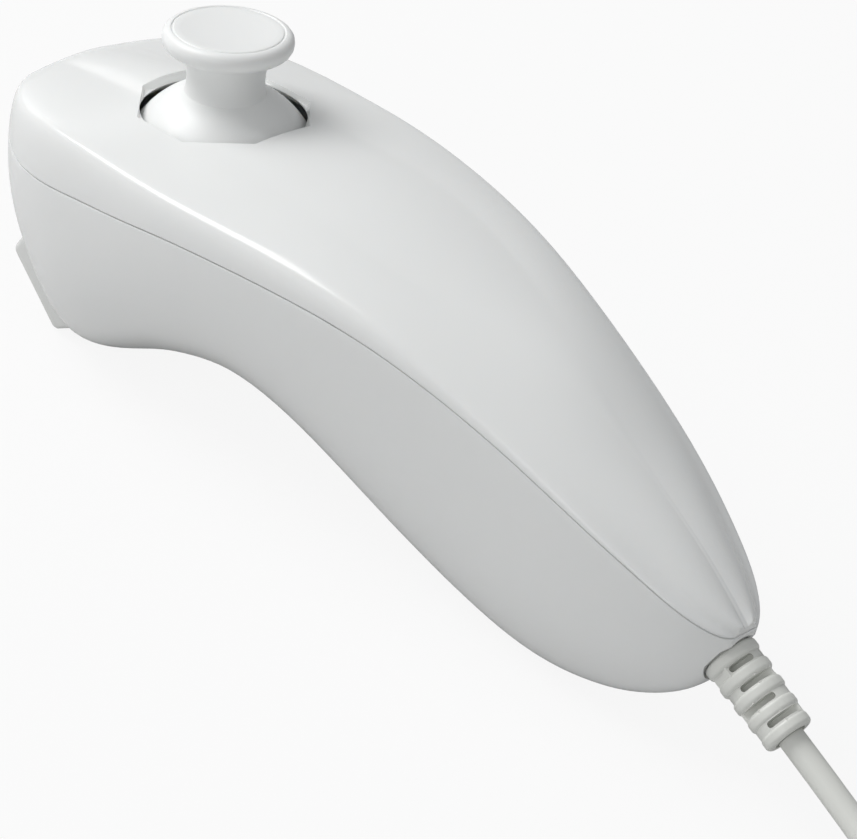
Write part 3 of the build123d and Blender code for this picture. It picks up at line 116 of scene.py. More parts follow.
# Strain relief, along an axis that leans down from the tail
RELIEF_Y, RELIEF_Z, RELIEF_LEAN = 109.95, 14.55, 21.6
RELIEF_FIRST, RELIEF_PITCH, RELIEF_LAST = 1.6, 2.32, 1.5
RELIEF_SLOT = 1.91                          # from the start of a ring to the middle of its slot
SEAT_RADIUS, SEAT_LOW, SEAT_HIGH = 3.45, 1.5, 14
BORE_RADIUS, BORE_LOW, BORE_HIGH = 2.75, -8, 2
SLOT_SPANS = ((-1.0, 1.9), (-1.3, 4.0), (-4.0, 1.3), (-1.3, 4.0))
SLOT_HEIGHT, SLOT_DEEP, SLOT_OUT, SLOT_ROUND, SLOT_TURN = 0.76, 3.0, 2.5, 0.34, -139
SLEEVE_RADIUS, SLEEVE_LOW, SLEEVE_HIGH = 2.72, 1.7, 12.1
MOUTH_RADIUS, MOUTH_LOW, MOUTH_HIGH = 1.9, 11.7, 13.5

# Cord: straight drop from the relief, a lead to the coil, the coil in two layers, and the way to the plug
CORD_LENGTH = 1.006                         # in metres, along the whole route
CORD_DROP, CORD_SIDE, CORD_LOW = 17.0, 18.0, 2.3
LEAD_NEAR, LEAD_FAR = (6, 16, 1.7), (CORD_SIDE, 30, CORD_LOW)      # to the side, along and up
LEAD_END, LEAD_STRAIGHT = 42.5, 3.0
COIL_RADIUS, COIL_PITCH, COIL_HALF_TURNS = 24, 3.45, 7      # half turns in each layer, plus one that climbs
TURN_STEPS, TURN_REACH = 8, 1.0194          # points in a half turn, and how far out they lie
END_TURN, END_RUN, END_CLIMB = 25.75, 10.0, (0.27, 0.56, 0.86)
PLUG_HEIGHT, PLUG_AHEAD, PLUG_LENGTH = 12.1, 10.37, 33.0

CORD_CURVE_STEPS, CORD_ROUND_STEPS = 6, 5   # smoothness along the cord and round it

# Rounded edges of the smaller pieces
FINE_EDGE, SHELL_EDGE, LATCH_EDGE, TIE_EDGE, BOOT_EDGE = 0.12 * MM, 0.15 * MM, 0.2 * MM, 0.2 * MM, 0.4 * MM

# Surfaces
MOTTLE_SCALE = 90.0                         # patches of about 11 mm
SCATTER_COLOUR, SCATTER_DEPTH = (1.0, 0.9, 0.8), 1.2 * MM
BUMP_DEPTH = 0.05 * MM

# Stage: the camera's place is in millimetres from the front of the housing, and the lamps' in metres
SENSOR_WIDTH = 36
CAMERA_PLACE = (222.43, 251.66, 216.22)
CAMERA_RIGHT, CAMERA_UP = (-0.7168, 0.6779, 0.1635), (-0.2999, -0.5113, 0.8054)
AMBIENT = (0.37, 0.375, 0.38, 1)            # light of the room, as linear values
BACKDROP = (1, 1, 1, 1)
FLOOR_HALF, FLOOR_GLOW = 3.0, 0.9
LAMP_AIM = (0, 0, 0.02)
LAMPS = (("key", (0.28, -0.6, 0.75), (0, -0.01, 0.02), (0.6, 0.6), 7.2),
         ("fill", (0.7, 0.3, 0.35), LAMP_AIM, (0.5, 0.4), 0.9),
         ("front", (-0.15, -0.8, 0.3), LAMP_AIM, (0.5, 0.3), 0.5))

STICK_FRAME = (Matrix.Translation(Vector((0, STICK_Y - ORIGIN_Y, STICK_Z)) * MM)
               @ Matrix.Rotation(math.radians(STICK_LEAN), 4, "X")
               @ Matrix.Translation(Vector((0, 0, -PIVOT_DEPTH)) * MM))


def linear(code):
    """An sRGB hex colour as linear red, green and blue."""
    values = [int(code[i:i + 2], 16) / 255 for i in (1, 3, 5)]
    return tuple(v / 12.92 if v <= 0.04045 else ((v + 0.055) / 1.055) ** 2.4 for v in values)


def spot(x, y, z):
    """A point given in millimetres from the front of the housing, in the part's own frame."""
    return Vector((x, y - ORIGIN_Y, z)) * MM


def curve(points):
    """A smooth function through (place, value) points."""
    last = len(points) - 1
    slopes = []
    for i in range(last + 1):
        a = points[max(i - 1, 0)]
        b = points[min(i + 1, last)]
        slopes.append((b[1] - a[1]) / (b[0] - a[0]))

    def value(y):
        y = min(max(y, points[0][0]), points[-1][0])
        i = 0
        while i < last - 1 and y > points[i + 1][0]:
            i += 1
        span = points[i + 1][0] - points[i][0]
        t = (y - points[i][0]) / span
        rise = (1 + 2 * t) * (1 - t) ** 2 * points[i][1] + t * t * (3 - 2 * t) * points[i + 1][1]
        bend = t * (1 - t) ** 2 * slopes[i] - t * t * (1 - t) * slopes[i + 1]
        return rise + bend * span
    return value


width_at = curve(WIDTH_CURVE)
seam_at = curve(SEAM_CURVE)
top_at = curve(TOP_CURVE)
bottom_at = curve(BOTTOM_CURVE)
rise_at = curve(SHOULDER_RISE)
inset_at = curve(SHOULDER_INSET)
facet_at = curve(FACET_CURVE)
drop_at = curve(FACET_DROP)
bulge_at = curve(FLANK_BULGE)
side_at = curve(SIDE_HANDLE)
belly_at = curve(BELLY_HANDLE)


def half_width(y):
    """Half the width at the seam, rounded off at both ends."""
    front = max(0.0, 1 - y / FRONT_ROUND)
    tail = max(0.0, 1 - (BODY_LENGTH - y) / TAIL_ROUND)
    front_share = (1 - front ** FRONT_POWER) ** (1 / FRONT_POWER)
    tail_share = (1 - tail ** TAIL_POWER) ** (1 / TAIL_POWER)
    return width_at(y) * front_share * tail_share


def bezier(points, t):
    """A point of a cubic Bezier curve."""
    a, b, c, d = (Vector(p) for p in points)
    u = 1 - t
    return a * u ** 3 + b * 3 * t * u * u + c * 3 * t * t * u + d * t ** 3


def half_section(y, wall):
    """(x, z) points of half a cross-section, from the crest down over the seam to the keel.

    With a wall it is the section of the hollow inside, about that far in from the outer one.
    """
    # The slopes differ from side to side, so the hollow moves in by its own share of the wall on each
    w = half_width(y - 0.7 * wall) - 0.9 * wall
    seam = seam_at(y)
    top = top_at(y - 0.4 * wall) - 1.1 * wall
    bottom = bottom_at(y) + 1.25 * wall
    if y < CHIN_END:
        bottom = bottom_at(y - 0.5 * wall) + 0.9 * wall
    shoulder_x = w - min(inset_at(y), 0.3 * w)
    share = (top - seam) / (top_at(y) - seam_at(y))
    shoulder_z = seam + min(rise_at(y) * share, 0.8 * (top - seam))
    facet_x = min(facet_at(y), 0.6 * shoulder_x)
    fade = min(max((y - FADE_START) / FADE_LENGTH, 0.0), 1.0)
    fade = fade * fade * (3 - 2 * fade)
    facet_z = top - min(drop_at(y), 0.4 * (top - shoulder_z)) * (1 - FACET_FADE * fade)
    depth = seam - bottom
    dx = shoulder_x - facet_x
    dz = facet_z - shoulder_z
    length = math.hypot(dx, dz)
    bulge = bulge_at(y)
    bulge += fade * (max(min(dz * length / (4 * dx), 0.2 * length), bulge) - bulge)
    points = []
    for t in CREST_SHARES:
        points.append((facet_x * t, top - (top - facet_z) * t * t))
    for t in FLANK_SHARES:
        swell = 4 * bulge * t * (1 - t)
        points.append((facet_x + dx * t + swell * dz / length, facet_z - dz * t + swell * dx / length))
    lean = math.atan2(dz, dx) + 4 * bulge / length
    reach = SHOULDER_PULL * (w - shoulder_x)
    side = [(shoulder_x, shoulder_z),
            (shoulder_x + reach * math.cos(lean), shoulder_z - reach * math.sin(lean)),
            (w, seam + SHOULDER_PULL * (shoulder_z - seam)),
            (w, seam)]
    for t in SHOULDER_SHARES:
        points.append(tuple(bezier(side, t)))
    under = [(w, seam), (w - 0.04 * depth, seam - side_at(y) * depth), (belly_at(y) * w, bottom), (0, bottom)]
    for t in BELLY_SHARES:
        points.append(tuple(bezier(under, t)))
    return points


def body_of_rings(stations, wall=0.0):
    """A closed body through the housing's cross-sections, as a bmesh."""
    bm = bmesh.new()
    rings = []
    for y in stations:
        half = half_section(y, wall)
        around = half + [(-x, z) for x, z in reversed(half[1:-1])]
        verts = [bm.verts.new(spot(x, y, z)) for x, z in around]
        rings.append([bm.edges.new((verts[i], verts[i - 1])) for i in range(len(verts))])
    for a, b in zip(rings, rings[1:]):
        bmesh.ops.bridge_loops(bm, edges=a + b)
    for ring in (rings[0], rings[-1]):
        for share in END_SHARES:
            out = bmesh.ops.extrude_edge_only(bm, edges=ring)
            verts = [v for v in out["geom"] if isinstance(v, bmesh.types.BMVert)]
            ring = [e for e in out["geom"] if isinstance(e, bmesh.types.BMEdge)
                    and e.verts[0] in verts and e.verts[1] in verts]
            middle = sum((v.co for v in verts), Vector()) / len(verts)
            bmesh.ops.scale(bm, verts=verts, vec=(share, 1, share), space=Matrix.Translation(-middle))
        bmesh.ops.contextual_create(bm, geom=ring)
    bmesh.ops.recalc_face_normals(bm, faces=bm.faces)
    return bm


def mesh_object(name, bm):
    """A new object from a bmesh, which it frees."""
    mesh = bpy.data.meshes.new(name)
    bm.to_mesh(mesh)
    bm.free()
    piece = bpy.data.objects.new(name, mesh)
    bpy.context.scene.collection.objects.link(piece)
    return piece


def applied(piece):
    """The piece with its modifiers applied."""
    bpy.context.view_layer.update()
    shown = piece.evaluated_get(bpy.context.evaluated_depsgraph_get())
    mesh = bpy.data.meshes.new_from_object(shown)
    old = piece.data
    piece.modifiers.clear()
    piece.data = mesh
    mesh.name = piece.name
    if old.users == 0:
        bpy.data.meshes.remove(old)
    return piece


def smoothed(piece, levels):
    """The piece with its faces divided and rounded."""
    rounding = piece.modifiers.new("rounding", "SUBSURF")
    rounding.levels = levels
    rounding.render_levels = levels
    return applied(piece)


def combine(piece, tool, how):
    """Cuts the tool from the piece or joins it, and removes the tool."""
    cut = piece.modifiers.new("cut", "BOOLEAN")
    cut.operation = how
    cut.object = tool
    cut.solver = "EXACT"
    applied(piece)
    bpy.data.objects.remove(tool)
    return piece


def bevelled(piece, width, segments):
    """The piece with its sharp edges rounded."""
    edge = piece.modifiers.new("edge", "BEVEL")
    edge.width = width
    edge.segments = segments
    edge.limit_method = "ANGLE"
    edge.angle_limit = math.radians(35)
    edge.use_clamp_overlap = False
    return applied(piece)


def soften_seam(shell, width):
    """Rounds the edges along the parting line, and leaves the cut openings crisp."""
    bm = bmesh.new()
    bm.from_mesh(shell.data)
    edges = []
    for edge in bm.edges:
        near = all(abs(v.co.z / MM - seam_at(v.co.y / MM + ORIGIN_Y)) < SEAM_NEAR for v in edge.verts)
        if near and edge.calc_face_angle(0.0) > math.radians(SEAM_TURN):
            edges.append(edge)
    bmesh.ops.bevel(bm, geom=edges, offset=width, offset_type="OFFSET", segments=2, profile=0.5,
                    affect="EDGES", clamp_overlap=True, material=-1)
    bm.to_mesh(shell.data)
    bm.free()
    return shell


def shade(piece, limit=32):
    """Smooth shading, with edges sharper than the limit left sharp."""
    bm = bmesh.new()
    bm.from_mesh(piece.data)
    for face in bm.faces:
        face.smooth = True
    for edge in bm.edges:
        edge.smooth = edge.calc_face_angle(0.0) < math.radians(limit)
    bm.to_mesh(piece.data)
    bm.free()
    return piece


def finish_piece(piece, material, body, *nodes):
    """Gives a piece its material and its body, and names the CAD nodes that it stands for."""
    piece.data.materials.clear()
    piece.data.materials.append(material)
    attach(piece, body)
    if nodes:
        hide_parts(*nodes)
    return piece


def copy_of(solid, name, body, material, width=0.0, segments=2):
    """A CAD node's shape as one clean mesh with softened edges."""
    bm = bmesh.new()
    bm.from_mesh(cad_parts[solid].data)
    bmesh.ops.remove_doubles(bm, verts=bm.verts, dist=0.002 * MM)
    bmesh.ops.dissolve_limit(bm, angle_limit=math.radians(1.0), verts=bm.verts, edges=bm.edges)
    piece = mesh_object(name, bm)
    if width:
        bevelled(piece, width, segments)
    shade(piece)
    return finish_piece(piece, material, body, solid)


def node(material, kind, links=(), **settings):
    """Adds a shader node with its settings, and its links as (output, input of this node)."""
    made = material.node_tree.nodes.new(kind)
    for key, value in settings.items():
        if hasattr(made, key) and not key[0].isupper():
            setattr(made, key, value)
        else:
            made.inputs[key.replace("_", " ")].default_value = value
    for output, name in links:
        material.node_tree.links.new(output, made.inputs[name])
    return made


def finish(name, colour, roughness, metallic=0.0, ior=1.46, grain=0.0, grain_size=0.4, mottle=0.04,
           scatter=0.0):
    """A surface with a fine bump, whose size is in millimetres, and a slight change of roughness."""
    found = bpy.data.materials.get(name)
    if found:
        return found
    material = bpy.data.materials.new(name)
    material.use_nodes = True
    tree = material.node_tree
    surface = tree.nodes["Principled BSDF"]
    surface.inputs["Base Color"].default_value = (*colour, 1)
    surface.inputs["Metallic"].default_value = metallic
    if not metallic:
        surface.inputs["IOR"].default_value = ior
    if scatter:
        surface.inputs["Subsurface Weight"].default_value = scatter
        surface.inputs["Subsurface Radius"].default_value = SCATTER_COLOUR
        surface.inputs["Subsurface Scale"].default_value = SCATTER_DEPTH
    place = node(material, "ShaderNodeTexCoord")
    wide = node(material, "ShaderNodeTexNoise", [(place.outputs["Object"], "Vector")],
                Scale=MOTTLE_SCALE, Detail=3.0)
    rough = node(material, "ShaderNodeMapRange", [(wide.outputs["Fac"], "Value")])
    rough.inputs["To Min"].default_value = max(0.02, roughness - mottle)
    rough.inputs["To Max"].default_value = roughness + mottle
    tree.links.new(rough.outputs["Result"], surface.inputs["Roughness"])
    if grain:
        fine = node(material, "ShaderNodeTexNoise", [(place.outputs["Object"], "Vector")],
                    Scale=1000.0 / grain_size, Detail=2.0)
        bump = node(material, "ShaderNodeBump", [(fine.outputs["Fac"], "Height")], Strength=grain,
                    Distance=BUMP_DEPTH)
        tree.links.new(bump.outputs["Normal"], surface.inputs["Normal"])
    return material


class HousingSettings(bpy.types.PropertyGroup):
    """Sizes and colour of the two shells."""
    wall: FloatProperty(name="Wall", description="Thickness of the shells", default=1.8 * MM, unit="LENGTH")
    gap: FloatProperty(name="Seam gap", description="Gap between the shells", default=0.2 * MM, unit="LENGTH")
    edge: FloatProperty(name="Edge", description="Rounding of cut edges", default=0.22 * MM, unit="LENGTH")
    colour: FloatVectorProperty(name="Colour", description="Moulded plastic", subtype="COLOR",
                                default=linear("#E9EAE9"))


class StickSettings(bpy.types.PropertyGroup):
    """Sizes and colour of the thumb stick."""
    steps: IntProperty(name="Steps", description="Steps round the cap", default=96)
    colour: FloatVectorProperty(name="Colour", description="Fine matt plastic", subtype="COLOR",
                                default=linear("#ECEDEC"))


class ButtonSettings(bpy.types.PropertyGroup):
    """Edges and colour of the button and trigger."""
    edge: FloatProperty(name="Edge", description="Rounding of the edges", default=0.5 * MM, unit="LENGTH")
    colour: FloatVectorProperty(name="Colour", description="Moulded plastic", subtype="COLOR",
                                default=linear("#DADBD9"))


class CordSettings(bpy.types.PropertyGroup):
    """Size and colour of the cord."""
    diameter: FloatProperty(name="Diameter", description="Outside of the cord", default=3.0 * MM,
                            unit="LENGTH")
    colour: FloatVectorProperty(name="Colour", description="Soft vinyl", subtype="COLOR",
                                default=linear("#DEDFDA"))


class StageSettings(bpy.types.PropertyGroup):
    """Floor colour and camera lens."""
    lens: FloatProperty(name="Lens", description="Focal length", default=132.53)
    floor: FloatVectorProperty(name="Floor", description="Pale floor", subtype="COLOR",
                               default=linear("#CDCDCD"))


def seam_block(offset, up):
    """A block with its lower (or upper) side along the seam."""
    bm = bmesh.new()
    verts = [bm.verts.new(spot(-BLOCK_SIDE, y, seam_at(y) + offset)) for y in range(-4, 119, 2)]
    line = [bm.edges.new(pair) for pair in zip(verts, verts[1:])]
    out = bmesh.ops.extrude_edge_only(bm, edges=line)
    moved = [v for v in out["geom"] if isinstance(v, bmesh.types.BMVert)]
    bmesh.ops.translate(bm, verts=moved, vec=(2 * BLOCK_SIDE * MM, 0, 0))
    out = bmesh.ops.extrude_face_region(bm, geom=bm.faces[:])
    far = (BLOCK_TOP if up else BLOCK_BOTTOM) * MM
    for moved in out["geom"]:
        if isinstance(moved, bmesh.types.BMVert):
            moved.co.z = far
    bmesh.ops.recalc_face_normals(bm, faces=bm.faces)
    return mesh_object("seam_block", bm)


def cylinder(radius, low, high, place, steps=96, top=None, turn=0.0):
    """A round or many-sided bar in a frame of its own, in millimetres."""
    bm = bmesh.new()
    bmesh.ops.create_cone(bm, cap_ends=True, segments=steps, radius1=radius * MM,
                          radius2=(radius if top is None else top) * MM, depth=(high - low) * MM)
    bmesh.ops.transform(bm, verts=bm.verts, matrix=place @ Matrix.Rotation(turn, 4, "Z")
                        @ Matrix.Translation(Vector((0, 0, (low + high) / 2)) * MM))
    return mesh_object("bar", bm)


def box(x0, x1, y0, y1, z0, z1):
    """A block between two places on each axis, in millimetres."""
    bm = bmesh.new()
    bmesh.ops.create_cube(bm, size=1.0)
    size = Vector((x1 - x0, y1 - y0, z1 - z0)) * MM
    bmesh.ops.scale(bm, verts=bm.verts, vec=size)
    bmesh.ops.translate(bm, verts=bm.verts, vec=spot((x0 + x1) / 2, (y0 + y1) / 2, (z0 + z1) / 2))
    return mesh_object("box", bm)


def prism(outline, half):
    """A (y, z) outline made into a block across the part, in millimetres."""
    bm = bmesh.new()
    face = bm.faces.new([bm.verts.new(spot(-half, y, z)) for y, z in outline])
    out = bmesh.ops.extrude_face_region(bm, geom=[face])
    moved = [v for v in out["geom"] if isinstance(v, bmesh.types.BMVert)]
    bmesh.ops.translate(bm, verts=moved, vec=(2 * half * MM, 0, 0))
    bmesh.ops.recalc_face_normals(bm, faces=bm.faces)
    return mesh_object("prism", bm)


def relief_frame(s):
    """A frame square to the strain relief's axis, s millimetres along it from the tail."""
    a = math.radians(RELIEF_LEAN)
    place = spot(0, RELIEF_Y + s * math.cos(a), RELIEF_Z - s * math.sin(a))
    return Matrix.Translation(place) @ Matrix.Rotation(math.radians(-90) - a, 4, "X")


def cut_recess(shell):
    """Cuts the eight-sided recess and the round hole for the stick."""
    flare = RECESS_RADIUS + (RECESS_RIM - RECESS_RADIUS) / RECESS_DEPTH * (RECESS_HIGH - RECESS_LOW)
    turn = math.radians(180 / RECESS_SIDES)
    combine(shell, cylinder(RECESS_RADIUS, RECESS_LOW, RECESS_HIGH, STICK_FRAME, RECESS_SIDES, flare, turn),
            "DIFFERENCE")
    combine(shell, cylinder(HOLE_RADIUS, 2, 12, STICK_FRAME), "DIFFERENCE")
    combine(shell, cylinder(UNDERCUT_RADIUS, UNDERCUT_LOW, UNDERCUT_HIGH, STICK_FRAME, top=UNDERCUT_TOP),
            "DIFFERENCE")


def cut_openings(shell):
    """Cuts the openings for the trigger, the button and the screws, and a flat rest under the housing."""
    combine(shell, prism(TRIGGER_OPENING, TRIGGER_HALF_WIDTH), "DIFFERENCE")
    combine(shell, box(-BUTTON_HALF_WIDTH, BUTTON_HALF_WIDTH, -3, 6, BUTTON_LOW, BUTTON_HIGH), "DIFFERENCE")
    for y in SCREW_PLACES:
        recess = cylinder(SCREW_RECESS_RADIUS, -1, bottom_at(y) + SCREW_RECESS_DEPTH,
                          Matrix.Translation(spot(0, y, 0)))
        combine(shell, recess, "DIFFERENCE")
    combine(shell, box(-BLOCK_SIDE, BLOCK_SIDE, -5, 120, -5, 0), "DIFFERENCE")


class CONTROLLER_OT_housing(bpy.types.Operator):
    """Makes the two shells, smooth and hollow, with the recess round the stick"""
    bl_idname = "controller.housing"
    bl_label = "Housing"

    def execute(self, context):
        settings = context.scene.controller_housing
        # Polished mould: soft, clear highlights on a white that glows a little at its edges
        plastic = finish("Gloss moulded ABS", settings.colour, 0.2, ior=1.52, mottle=0.03,
                         grain=0.04, grain_size=0.9, scatter=0.12)
        gap = settings.gap / MM / 2
        for name, up in (("upper_shell_skin", True), ("lower_shell_skin", False)):
            shell = smoothed(mesh_object(name, body_of_rings(STATIONS)), 2)
            shell = combine(shell, seam_block(gap if up else -gap, not up), "DIFFERENCE")
            cavity = smoothed(mesh_object("cavity", body_of_rings(CAVITY_STATIONS, settings.wall / MM)), 1)
            if up:
                combine(cavity, cylinder(COLLAR_RADIUS, COLLAR_LOW, 20, STICK_FRAME), "DIFFERENCE")
            combine(shell, cavity, "DIFFERENCE")
            if up:
                cut_recess(shell)
            else:
                cut_openings(shell)
            # The relief's seat, and the bore for the cord behind it
            combine(shell, cylinder(SEAT_RADIUS, SEAT_LOW, SEAT_HIGH, relief_frame(0)), "DIFFERENCE")
            combine(shell, cylinder(BORE_RADIUS, BORE_LOW, BORE_HIGH, relief_frame(0)), "DIFFERENCE")
            soften_seam(shell, settings.edge)
            shade(shell, 30)
            finish_piece(shell, plastic, "housing", "upper_shell" if up else "lower_shell")
        return {"FINISHED"}


class CONTROLLER_OT_stick(bpy.types.Operator):
    """Makes the thumb stick's dished cap, neck and dome"""
    bl_idname = "controller.stick"
    bl_label = "Stick"

    def execute(self, context):
        settings = context.scene.controller_stick
        # Finely etched mould: the highlight spreads out and the white looks dry
        plastic = finish("Satin moulded ABS", settings.colour, 0.38, ior=1.5, mottle=0.03,
                         grain=0.12, grain_size=0.35, scatter=0.1)
        dome = []
        start = math.degrees(math.acos(DOME_START_RADIUS / DOME_RADIUS))
        for i in range(DOME_STEPS + 1):
            a = math.radians(start + (DOME_END - start) * i / DOME_STEPS)
            dome.append((DOME_RADIUS * math.cos(a), DOME_RADIUS * math.sin(a)))
        inner = []
        for degrees in range(DOME_END, 91, 6):
            a = math.radians(degrees)
            inner.append((DOME_INSIDE * math.cos(a), DOME_INSIDE * math.sin(a)))
        inner.append((0, DOME_INSIDE))
        bm = bmesh.new()
        verts = [bm.verts.new((r * MM, 0, h * MM)) for r, h in CAP_PROFILE + dome + inner]
        edges = [bm.edges.new(pair) for pair in zip(verts, verts[1:])]
        bmesh.ops.spin(bm, geom=verts + edges, cent=(0, 0, 0), axis=(0, 0, 1), angle=2 * math.pi,
                       steps=settings.steps, use_merge=True)
        bmesh.ops.remove_doubles(bm, verts=bm.verts, dist=0.001 * MM)
        bmesh.ops.recalc_face_normals(bm, faces=bm.faces)
        bmesh.ops.transform(bm, verts=bm.verts, matrix=STICK_FRAME)
        cap = shade(mesh_object("stick_cap_skin", bm), 40)
        finish_piece(cap, plastic, "stick", "stick_cap")
        return {"FINISHED"}


class CONTROLLER_OT_buttons(bpy.types.Operator):
    """Softens the edges of the front button and the trigger"""
    bl_idname = "controller.buttons"
    bl_label = "Buttons"

    def execute(self, context):
        settings = context.scene.controller_buttons
        # As the housing, a shade greyer
        plastic = finish("Gloss moulded ABS, buttons", settings.colour, 0.22, ior=1.52, mottle=0.03,
                         grain=0.04, grain_size=0.9)
        copy_of("trigger", "trigger_skin", "trigger", plastic, settings.edge, 3)
        copy_of("front_button", "front_button_skin", "front_button", plastic, FINE_EDGE, 2)
        return {"FINISHED"}


def soft_vinyl(context):
    """The cord's vinyl, which is waxy: it has a broad, dull highlight."""
    return finish("Soft moulded PVC", context.scene.controller_cord.colour, 0.42, ior=1.5, mottle=0.04,
                  grain=0.15, grain_size=0.3)


def slotted_relief(vinyl):
    """The ringed strain relief, with a sleeve inside, four slots and a mouth."""
    relief = copy_of("strain_relief", "strain_relief_skin", "housing", vinyl)
    combine(relief, cylinder(SLEEVE_RADIUS, SLEEVE_LOW, SLEEVE_HIGH, relief_frame(0)), "UNION")
    for i, (low, high) in enumerate(SLOT_SPANS):
        bm = bmesh.new()
        bmesh.ops.create_cube(bm, size=MM)
        bmesh.ops.scale(bm, verts=bm.verts, vec=(high - low, SLOT_DEEP, SLOT_HEIGHT))
        upright = [e for e in bm.edges if abs(e.verts[0].co.y - e.verts[1].co.y) > MM]
        bmesh.ops.bevel(bm, geom=upright, offset=SLOT_ROUND * MM, segments=4, profile=0.5, affect="EDGES",
                        material=-1)
        bmesh.ops.translate(bm, verts=bm.verts, vec=((low + high) / 2 * MM, SLOT_OUT * MM, 0))
        place = relief_frame(RELIEF_FIRST + RELIEF_PITCH * i + RELIEF_SLOT)
        place = place @ Matrix.Rotation(math.radians(SLOT_TURN), 4, "Z")
        bmesh.ops.transform(bm, verts=bm.verts, matrix=place)
        combine(relief, mesh_object("slot", bm), "DIFFERENCE")
    combine(relief, cylinder(MOUTH_RADIUS, MOUTH_LOW, MOUTH_HIGH, relief_frame(0)), "DIFFERENCE")
    return shade(relief)


class CONTROLLER_OT_cord(bpy.types.Operator):
    """Makes the strain relief, the cord with its coil and the tie"""
    bl_idname = "controller.cord"
    bl_label = "Cord"

    def execute(self, context):
        settings = context.scene.controller_cord
        vinyl = soft_vinyl(context)
        # Woven tape: nearly black, with no highlight
        nylon = finish("Woven nylon tape, black", linear("#1C1D1F"), 0.75, mottle=0.05, grain=0.6,
                       grain_size=0.5)
        relief = slotted_relief(vinyl)
        route, length = cord_route()
        curve_data = bpy.data.curves.new("cord", "CURVE")
        curve_data.dimensions = "3D"
        spline = curve_data.splines.new("NURBS")
        spline.points.add(len(route) - 1)
        for point, place in zip(spline.points, route):
            point.co = (*place, 1)
        spline.order_u = 3
        spline.use_endpoint_u = True
        spline.resolution_u = CORD_CURVE_STEPS
        curve_data.bevel_depth = settings.diameter / 2
        curve_data.bevel_resolution = CORD_ROUND_STEPS
        curve_data.use_fill_caps = True
        cord = bpy.data.objects.new("cord", curve_data)
        context.scene.collection.objects.link(cord)
        curve_data.materials.append(vinyl)
        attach(cord, "housing")
        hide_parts("cord_lead", "cord_coil", "cord_end")
        tie = copy_of("cord_tie", "cord_tie_skin", "housing", nylon, TIE_EDGE, 3)
        return {"FINISHED"}


def cord_route():
    """The cord's route in metres, and its length: down to the floor, the coil, and on to the plug."""
    relief_end = RELIEF_FIRST + RELIEF_PITCH * 4 + RELIEF_LAST
    a = math.radians(RELIEF_LEAN)
    y0 = RELIEF_Y + relief_end * math.cos(a)
    z0 = RELIEF_Z - relief_end * math.sin(a)
    near_y = y0 + CORD_DROP * math.cos(a)
    points = [(0, y0, z0), (0, near_y, z0 - CORD_DROP * math.sin(a))]
    for side, along, height in (LEAD_NEAR, LEAD_FAR):
        points.append((side, near_y + along, height))
    x, axis_y, z = CORD_SIDE, near_y + LEAD_END + LEAD_STRAIGHT, CORD_LOW
    heading = 1
    points.append((x, axis_y - LEAD_STRAIGHT, CORD_LOW))

    def half_turn(radius, climb=0.0):
        nonlocal x, z, heading
        tilt = math.asin(climb / (2 * radius))
        reach = radius * TURN_REACH
        centre = x - heading * radius * math.cos(tilt)
        for i in range(TURN_STEPS):
            angle = math.radians(180 / TURN_STEPS * (i + 0.5))
            points.append((centre + heading * reach * math.cos(angle) * math.cos(tilt),
                           axis_y + heading * reach * math.sin(angle),
                           z + radius * math.sin(tilt) * (1 - math.cos(angle))))
        x = centre - heading * radius * math.cos(tilt)
        z += climb
        heading = -heading

    for k in range(COIL_HALF_TURNS):
        half_turn(COIL_RADIUS - k * COIL_PITCH / 2)
    half_turn(COIL_RADIUS - COIL_HALF_TURNS * COIL_PITCH / 2, COIL_PITCH)
    for k in reversed(range(COIL_HALF_TURNS)):
        half_turn(COIL_RADIUS - k * COIL_PITCH / 2)
    end_y = axis_y - LEAD_STRAIGHT
    plug_x = x + END_TURN
    plug_y = axis_y + PLUG_AHEAD - PLUG_LENGTH
    slant = END_TURN / (1 + math.sqrt(2)) / math.sqrt(2)
    turn_y = plug_y - END_RUN
    first, second, third = [z + share * (PLUG_HEIGHT - z) for share in END_CLIMB]
    points += [(x, end_y, z),
               (x, (end_y - LEAD_STRAIGHT + turn_y) / 2, z),
               (x, turn_y, first),
               (x + slant, turn_y - slant, second),
               (plug_x - slant, turn_y - slant, third),
               (plug_x, turn_y, PLUG_HEIGHT),
               (plug_x, plug_y, PLUG_HEIGHT)]
    return [spot(*p) for p in points], CORD_LENGTH


class CONTROLLER_OT_plug(bpy.types.Operator):
    """Softens the edges of the plug's pieces"""
    bl_idname = "controller.plug"
    bl_label = "Plug"

    def execute(self, context):
        # Lightly etched shells: a soft sheen, a shade greyer than the housing
        plastic = finish("Satin moulded ABS, plug", linear("#DCDDDB"), 0.32, ior=1.5, grain=0.1,
                         grain_size=0.4)
        # Glass in the nylon: dark grey with a faint speckle and no clear highlight
        dark = finish("Glass-filled nylon, dark", linear("#4A4B4D"), 0.5, grain=0.2, grain_size=0.3)
        vinyl = soft_vinyl(context)
        copy_of("plug_top_shell", "plug_top_skin", "housing", plastic, SHELL_EDGE)
        copy_of("plug_bottom_shell", "plug_bottom_skin", "housing", plastic, SHELL_EDGE)
        copy_of("plug_latch_left", "plug_latch_left_skin", "latch_left", plastic, LATCH_EDGE)
        copy_of("plug_latch_right", "plug_latch_right_skin", "latch_right", plastic, LATCH_EDGE)
        copy_of("plug_nose", "plug_nose_skin", "housing", dark, FINE_EDGE)
        copy_of("plug_boot", "plug_boot_skin", "housing", vinyl, BOOT_EDGE, 3)
        return {"FINISHED"}


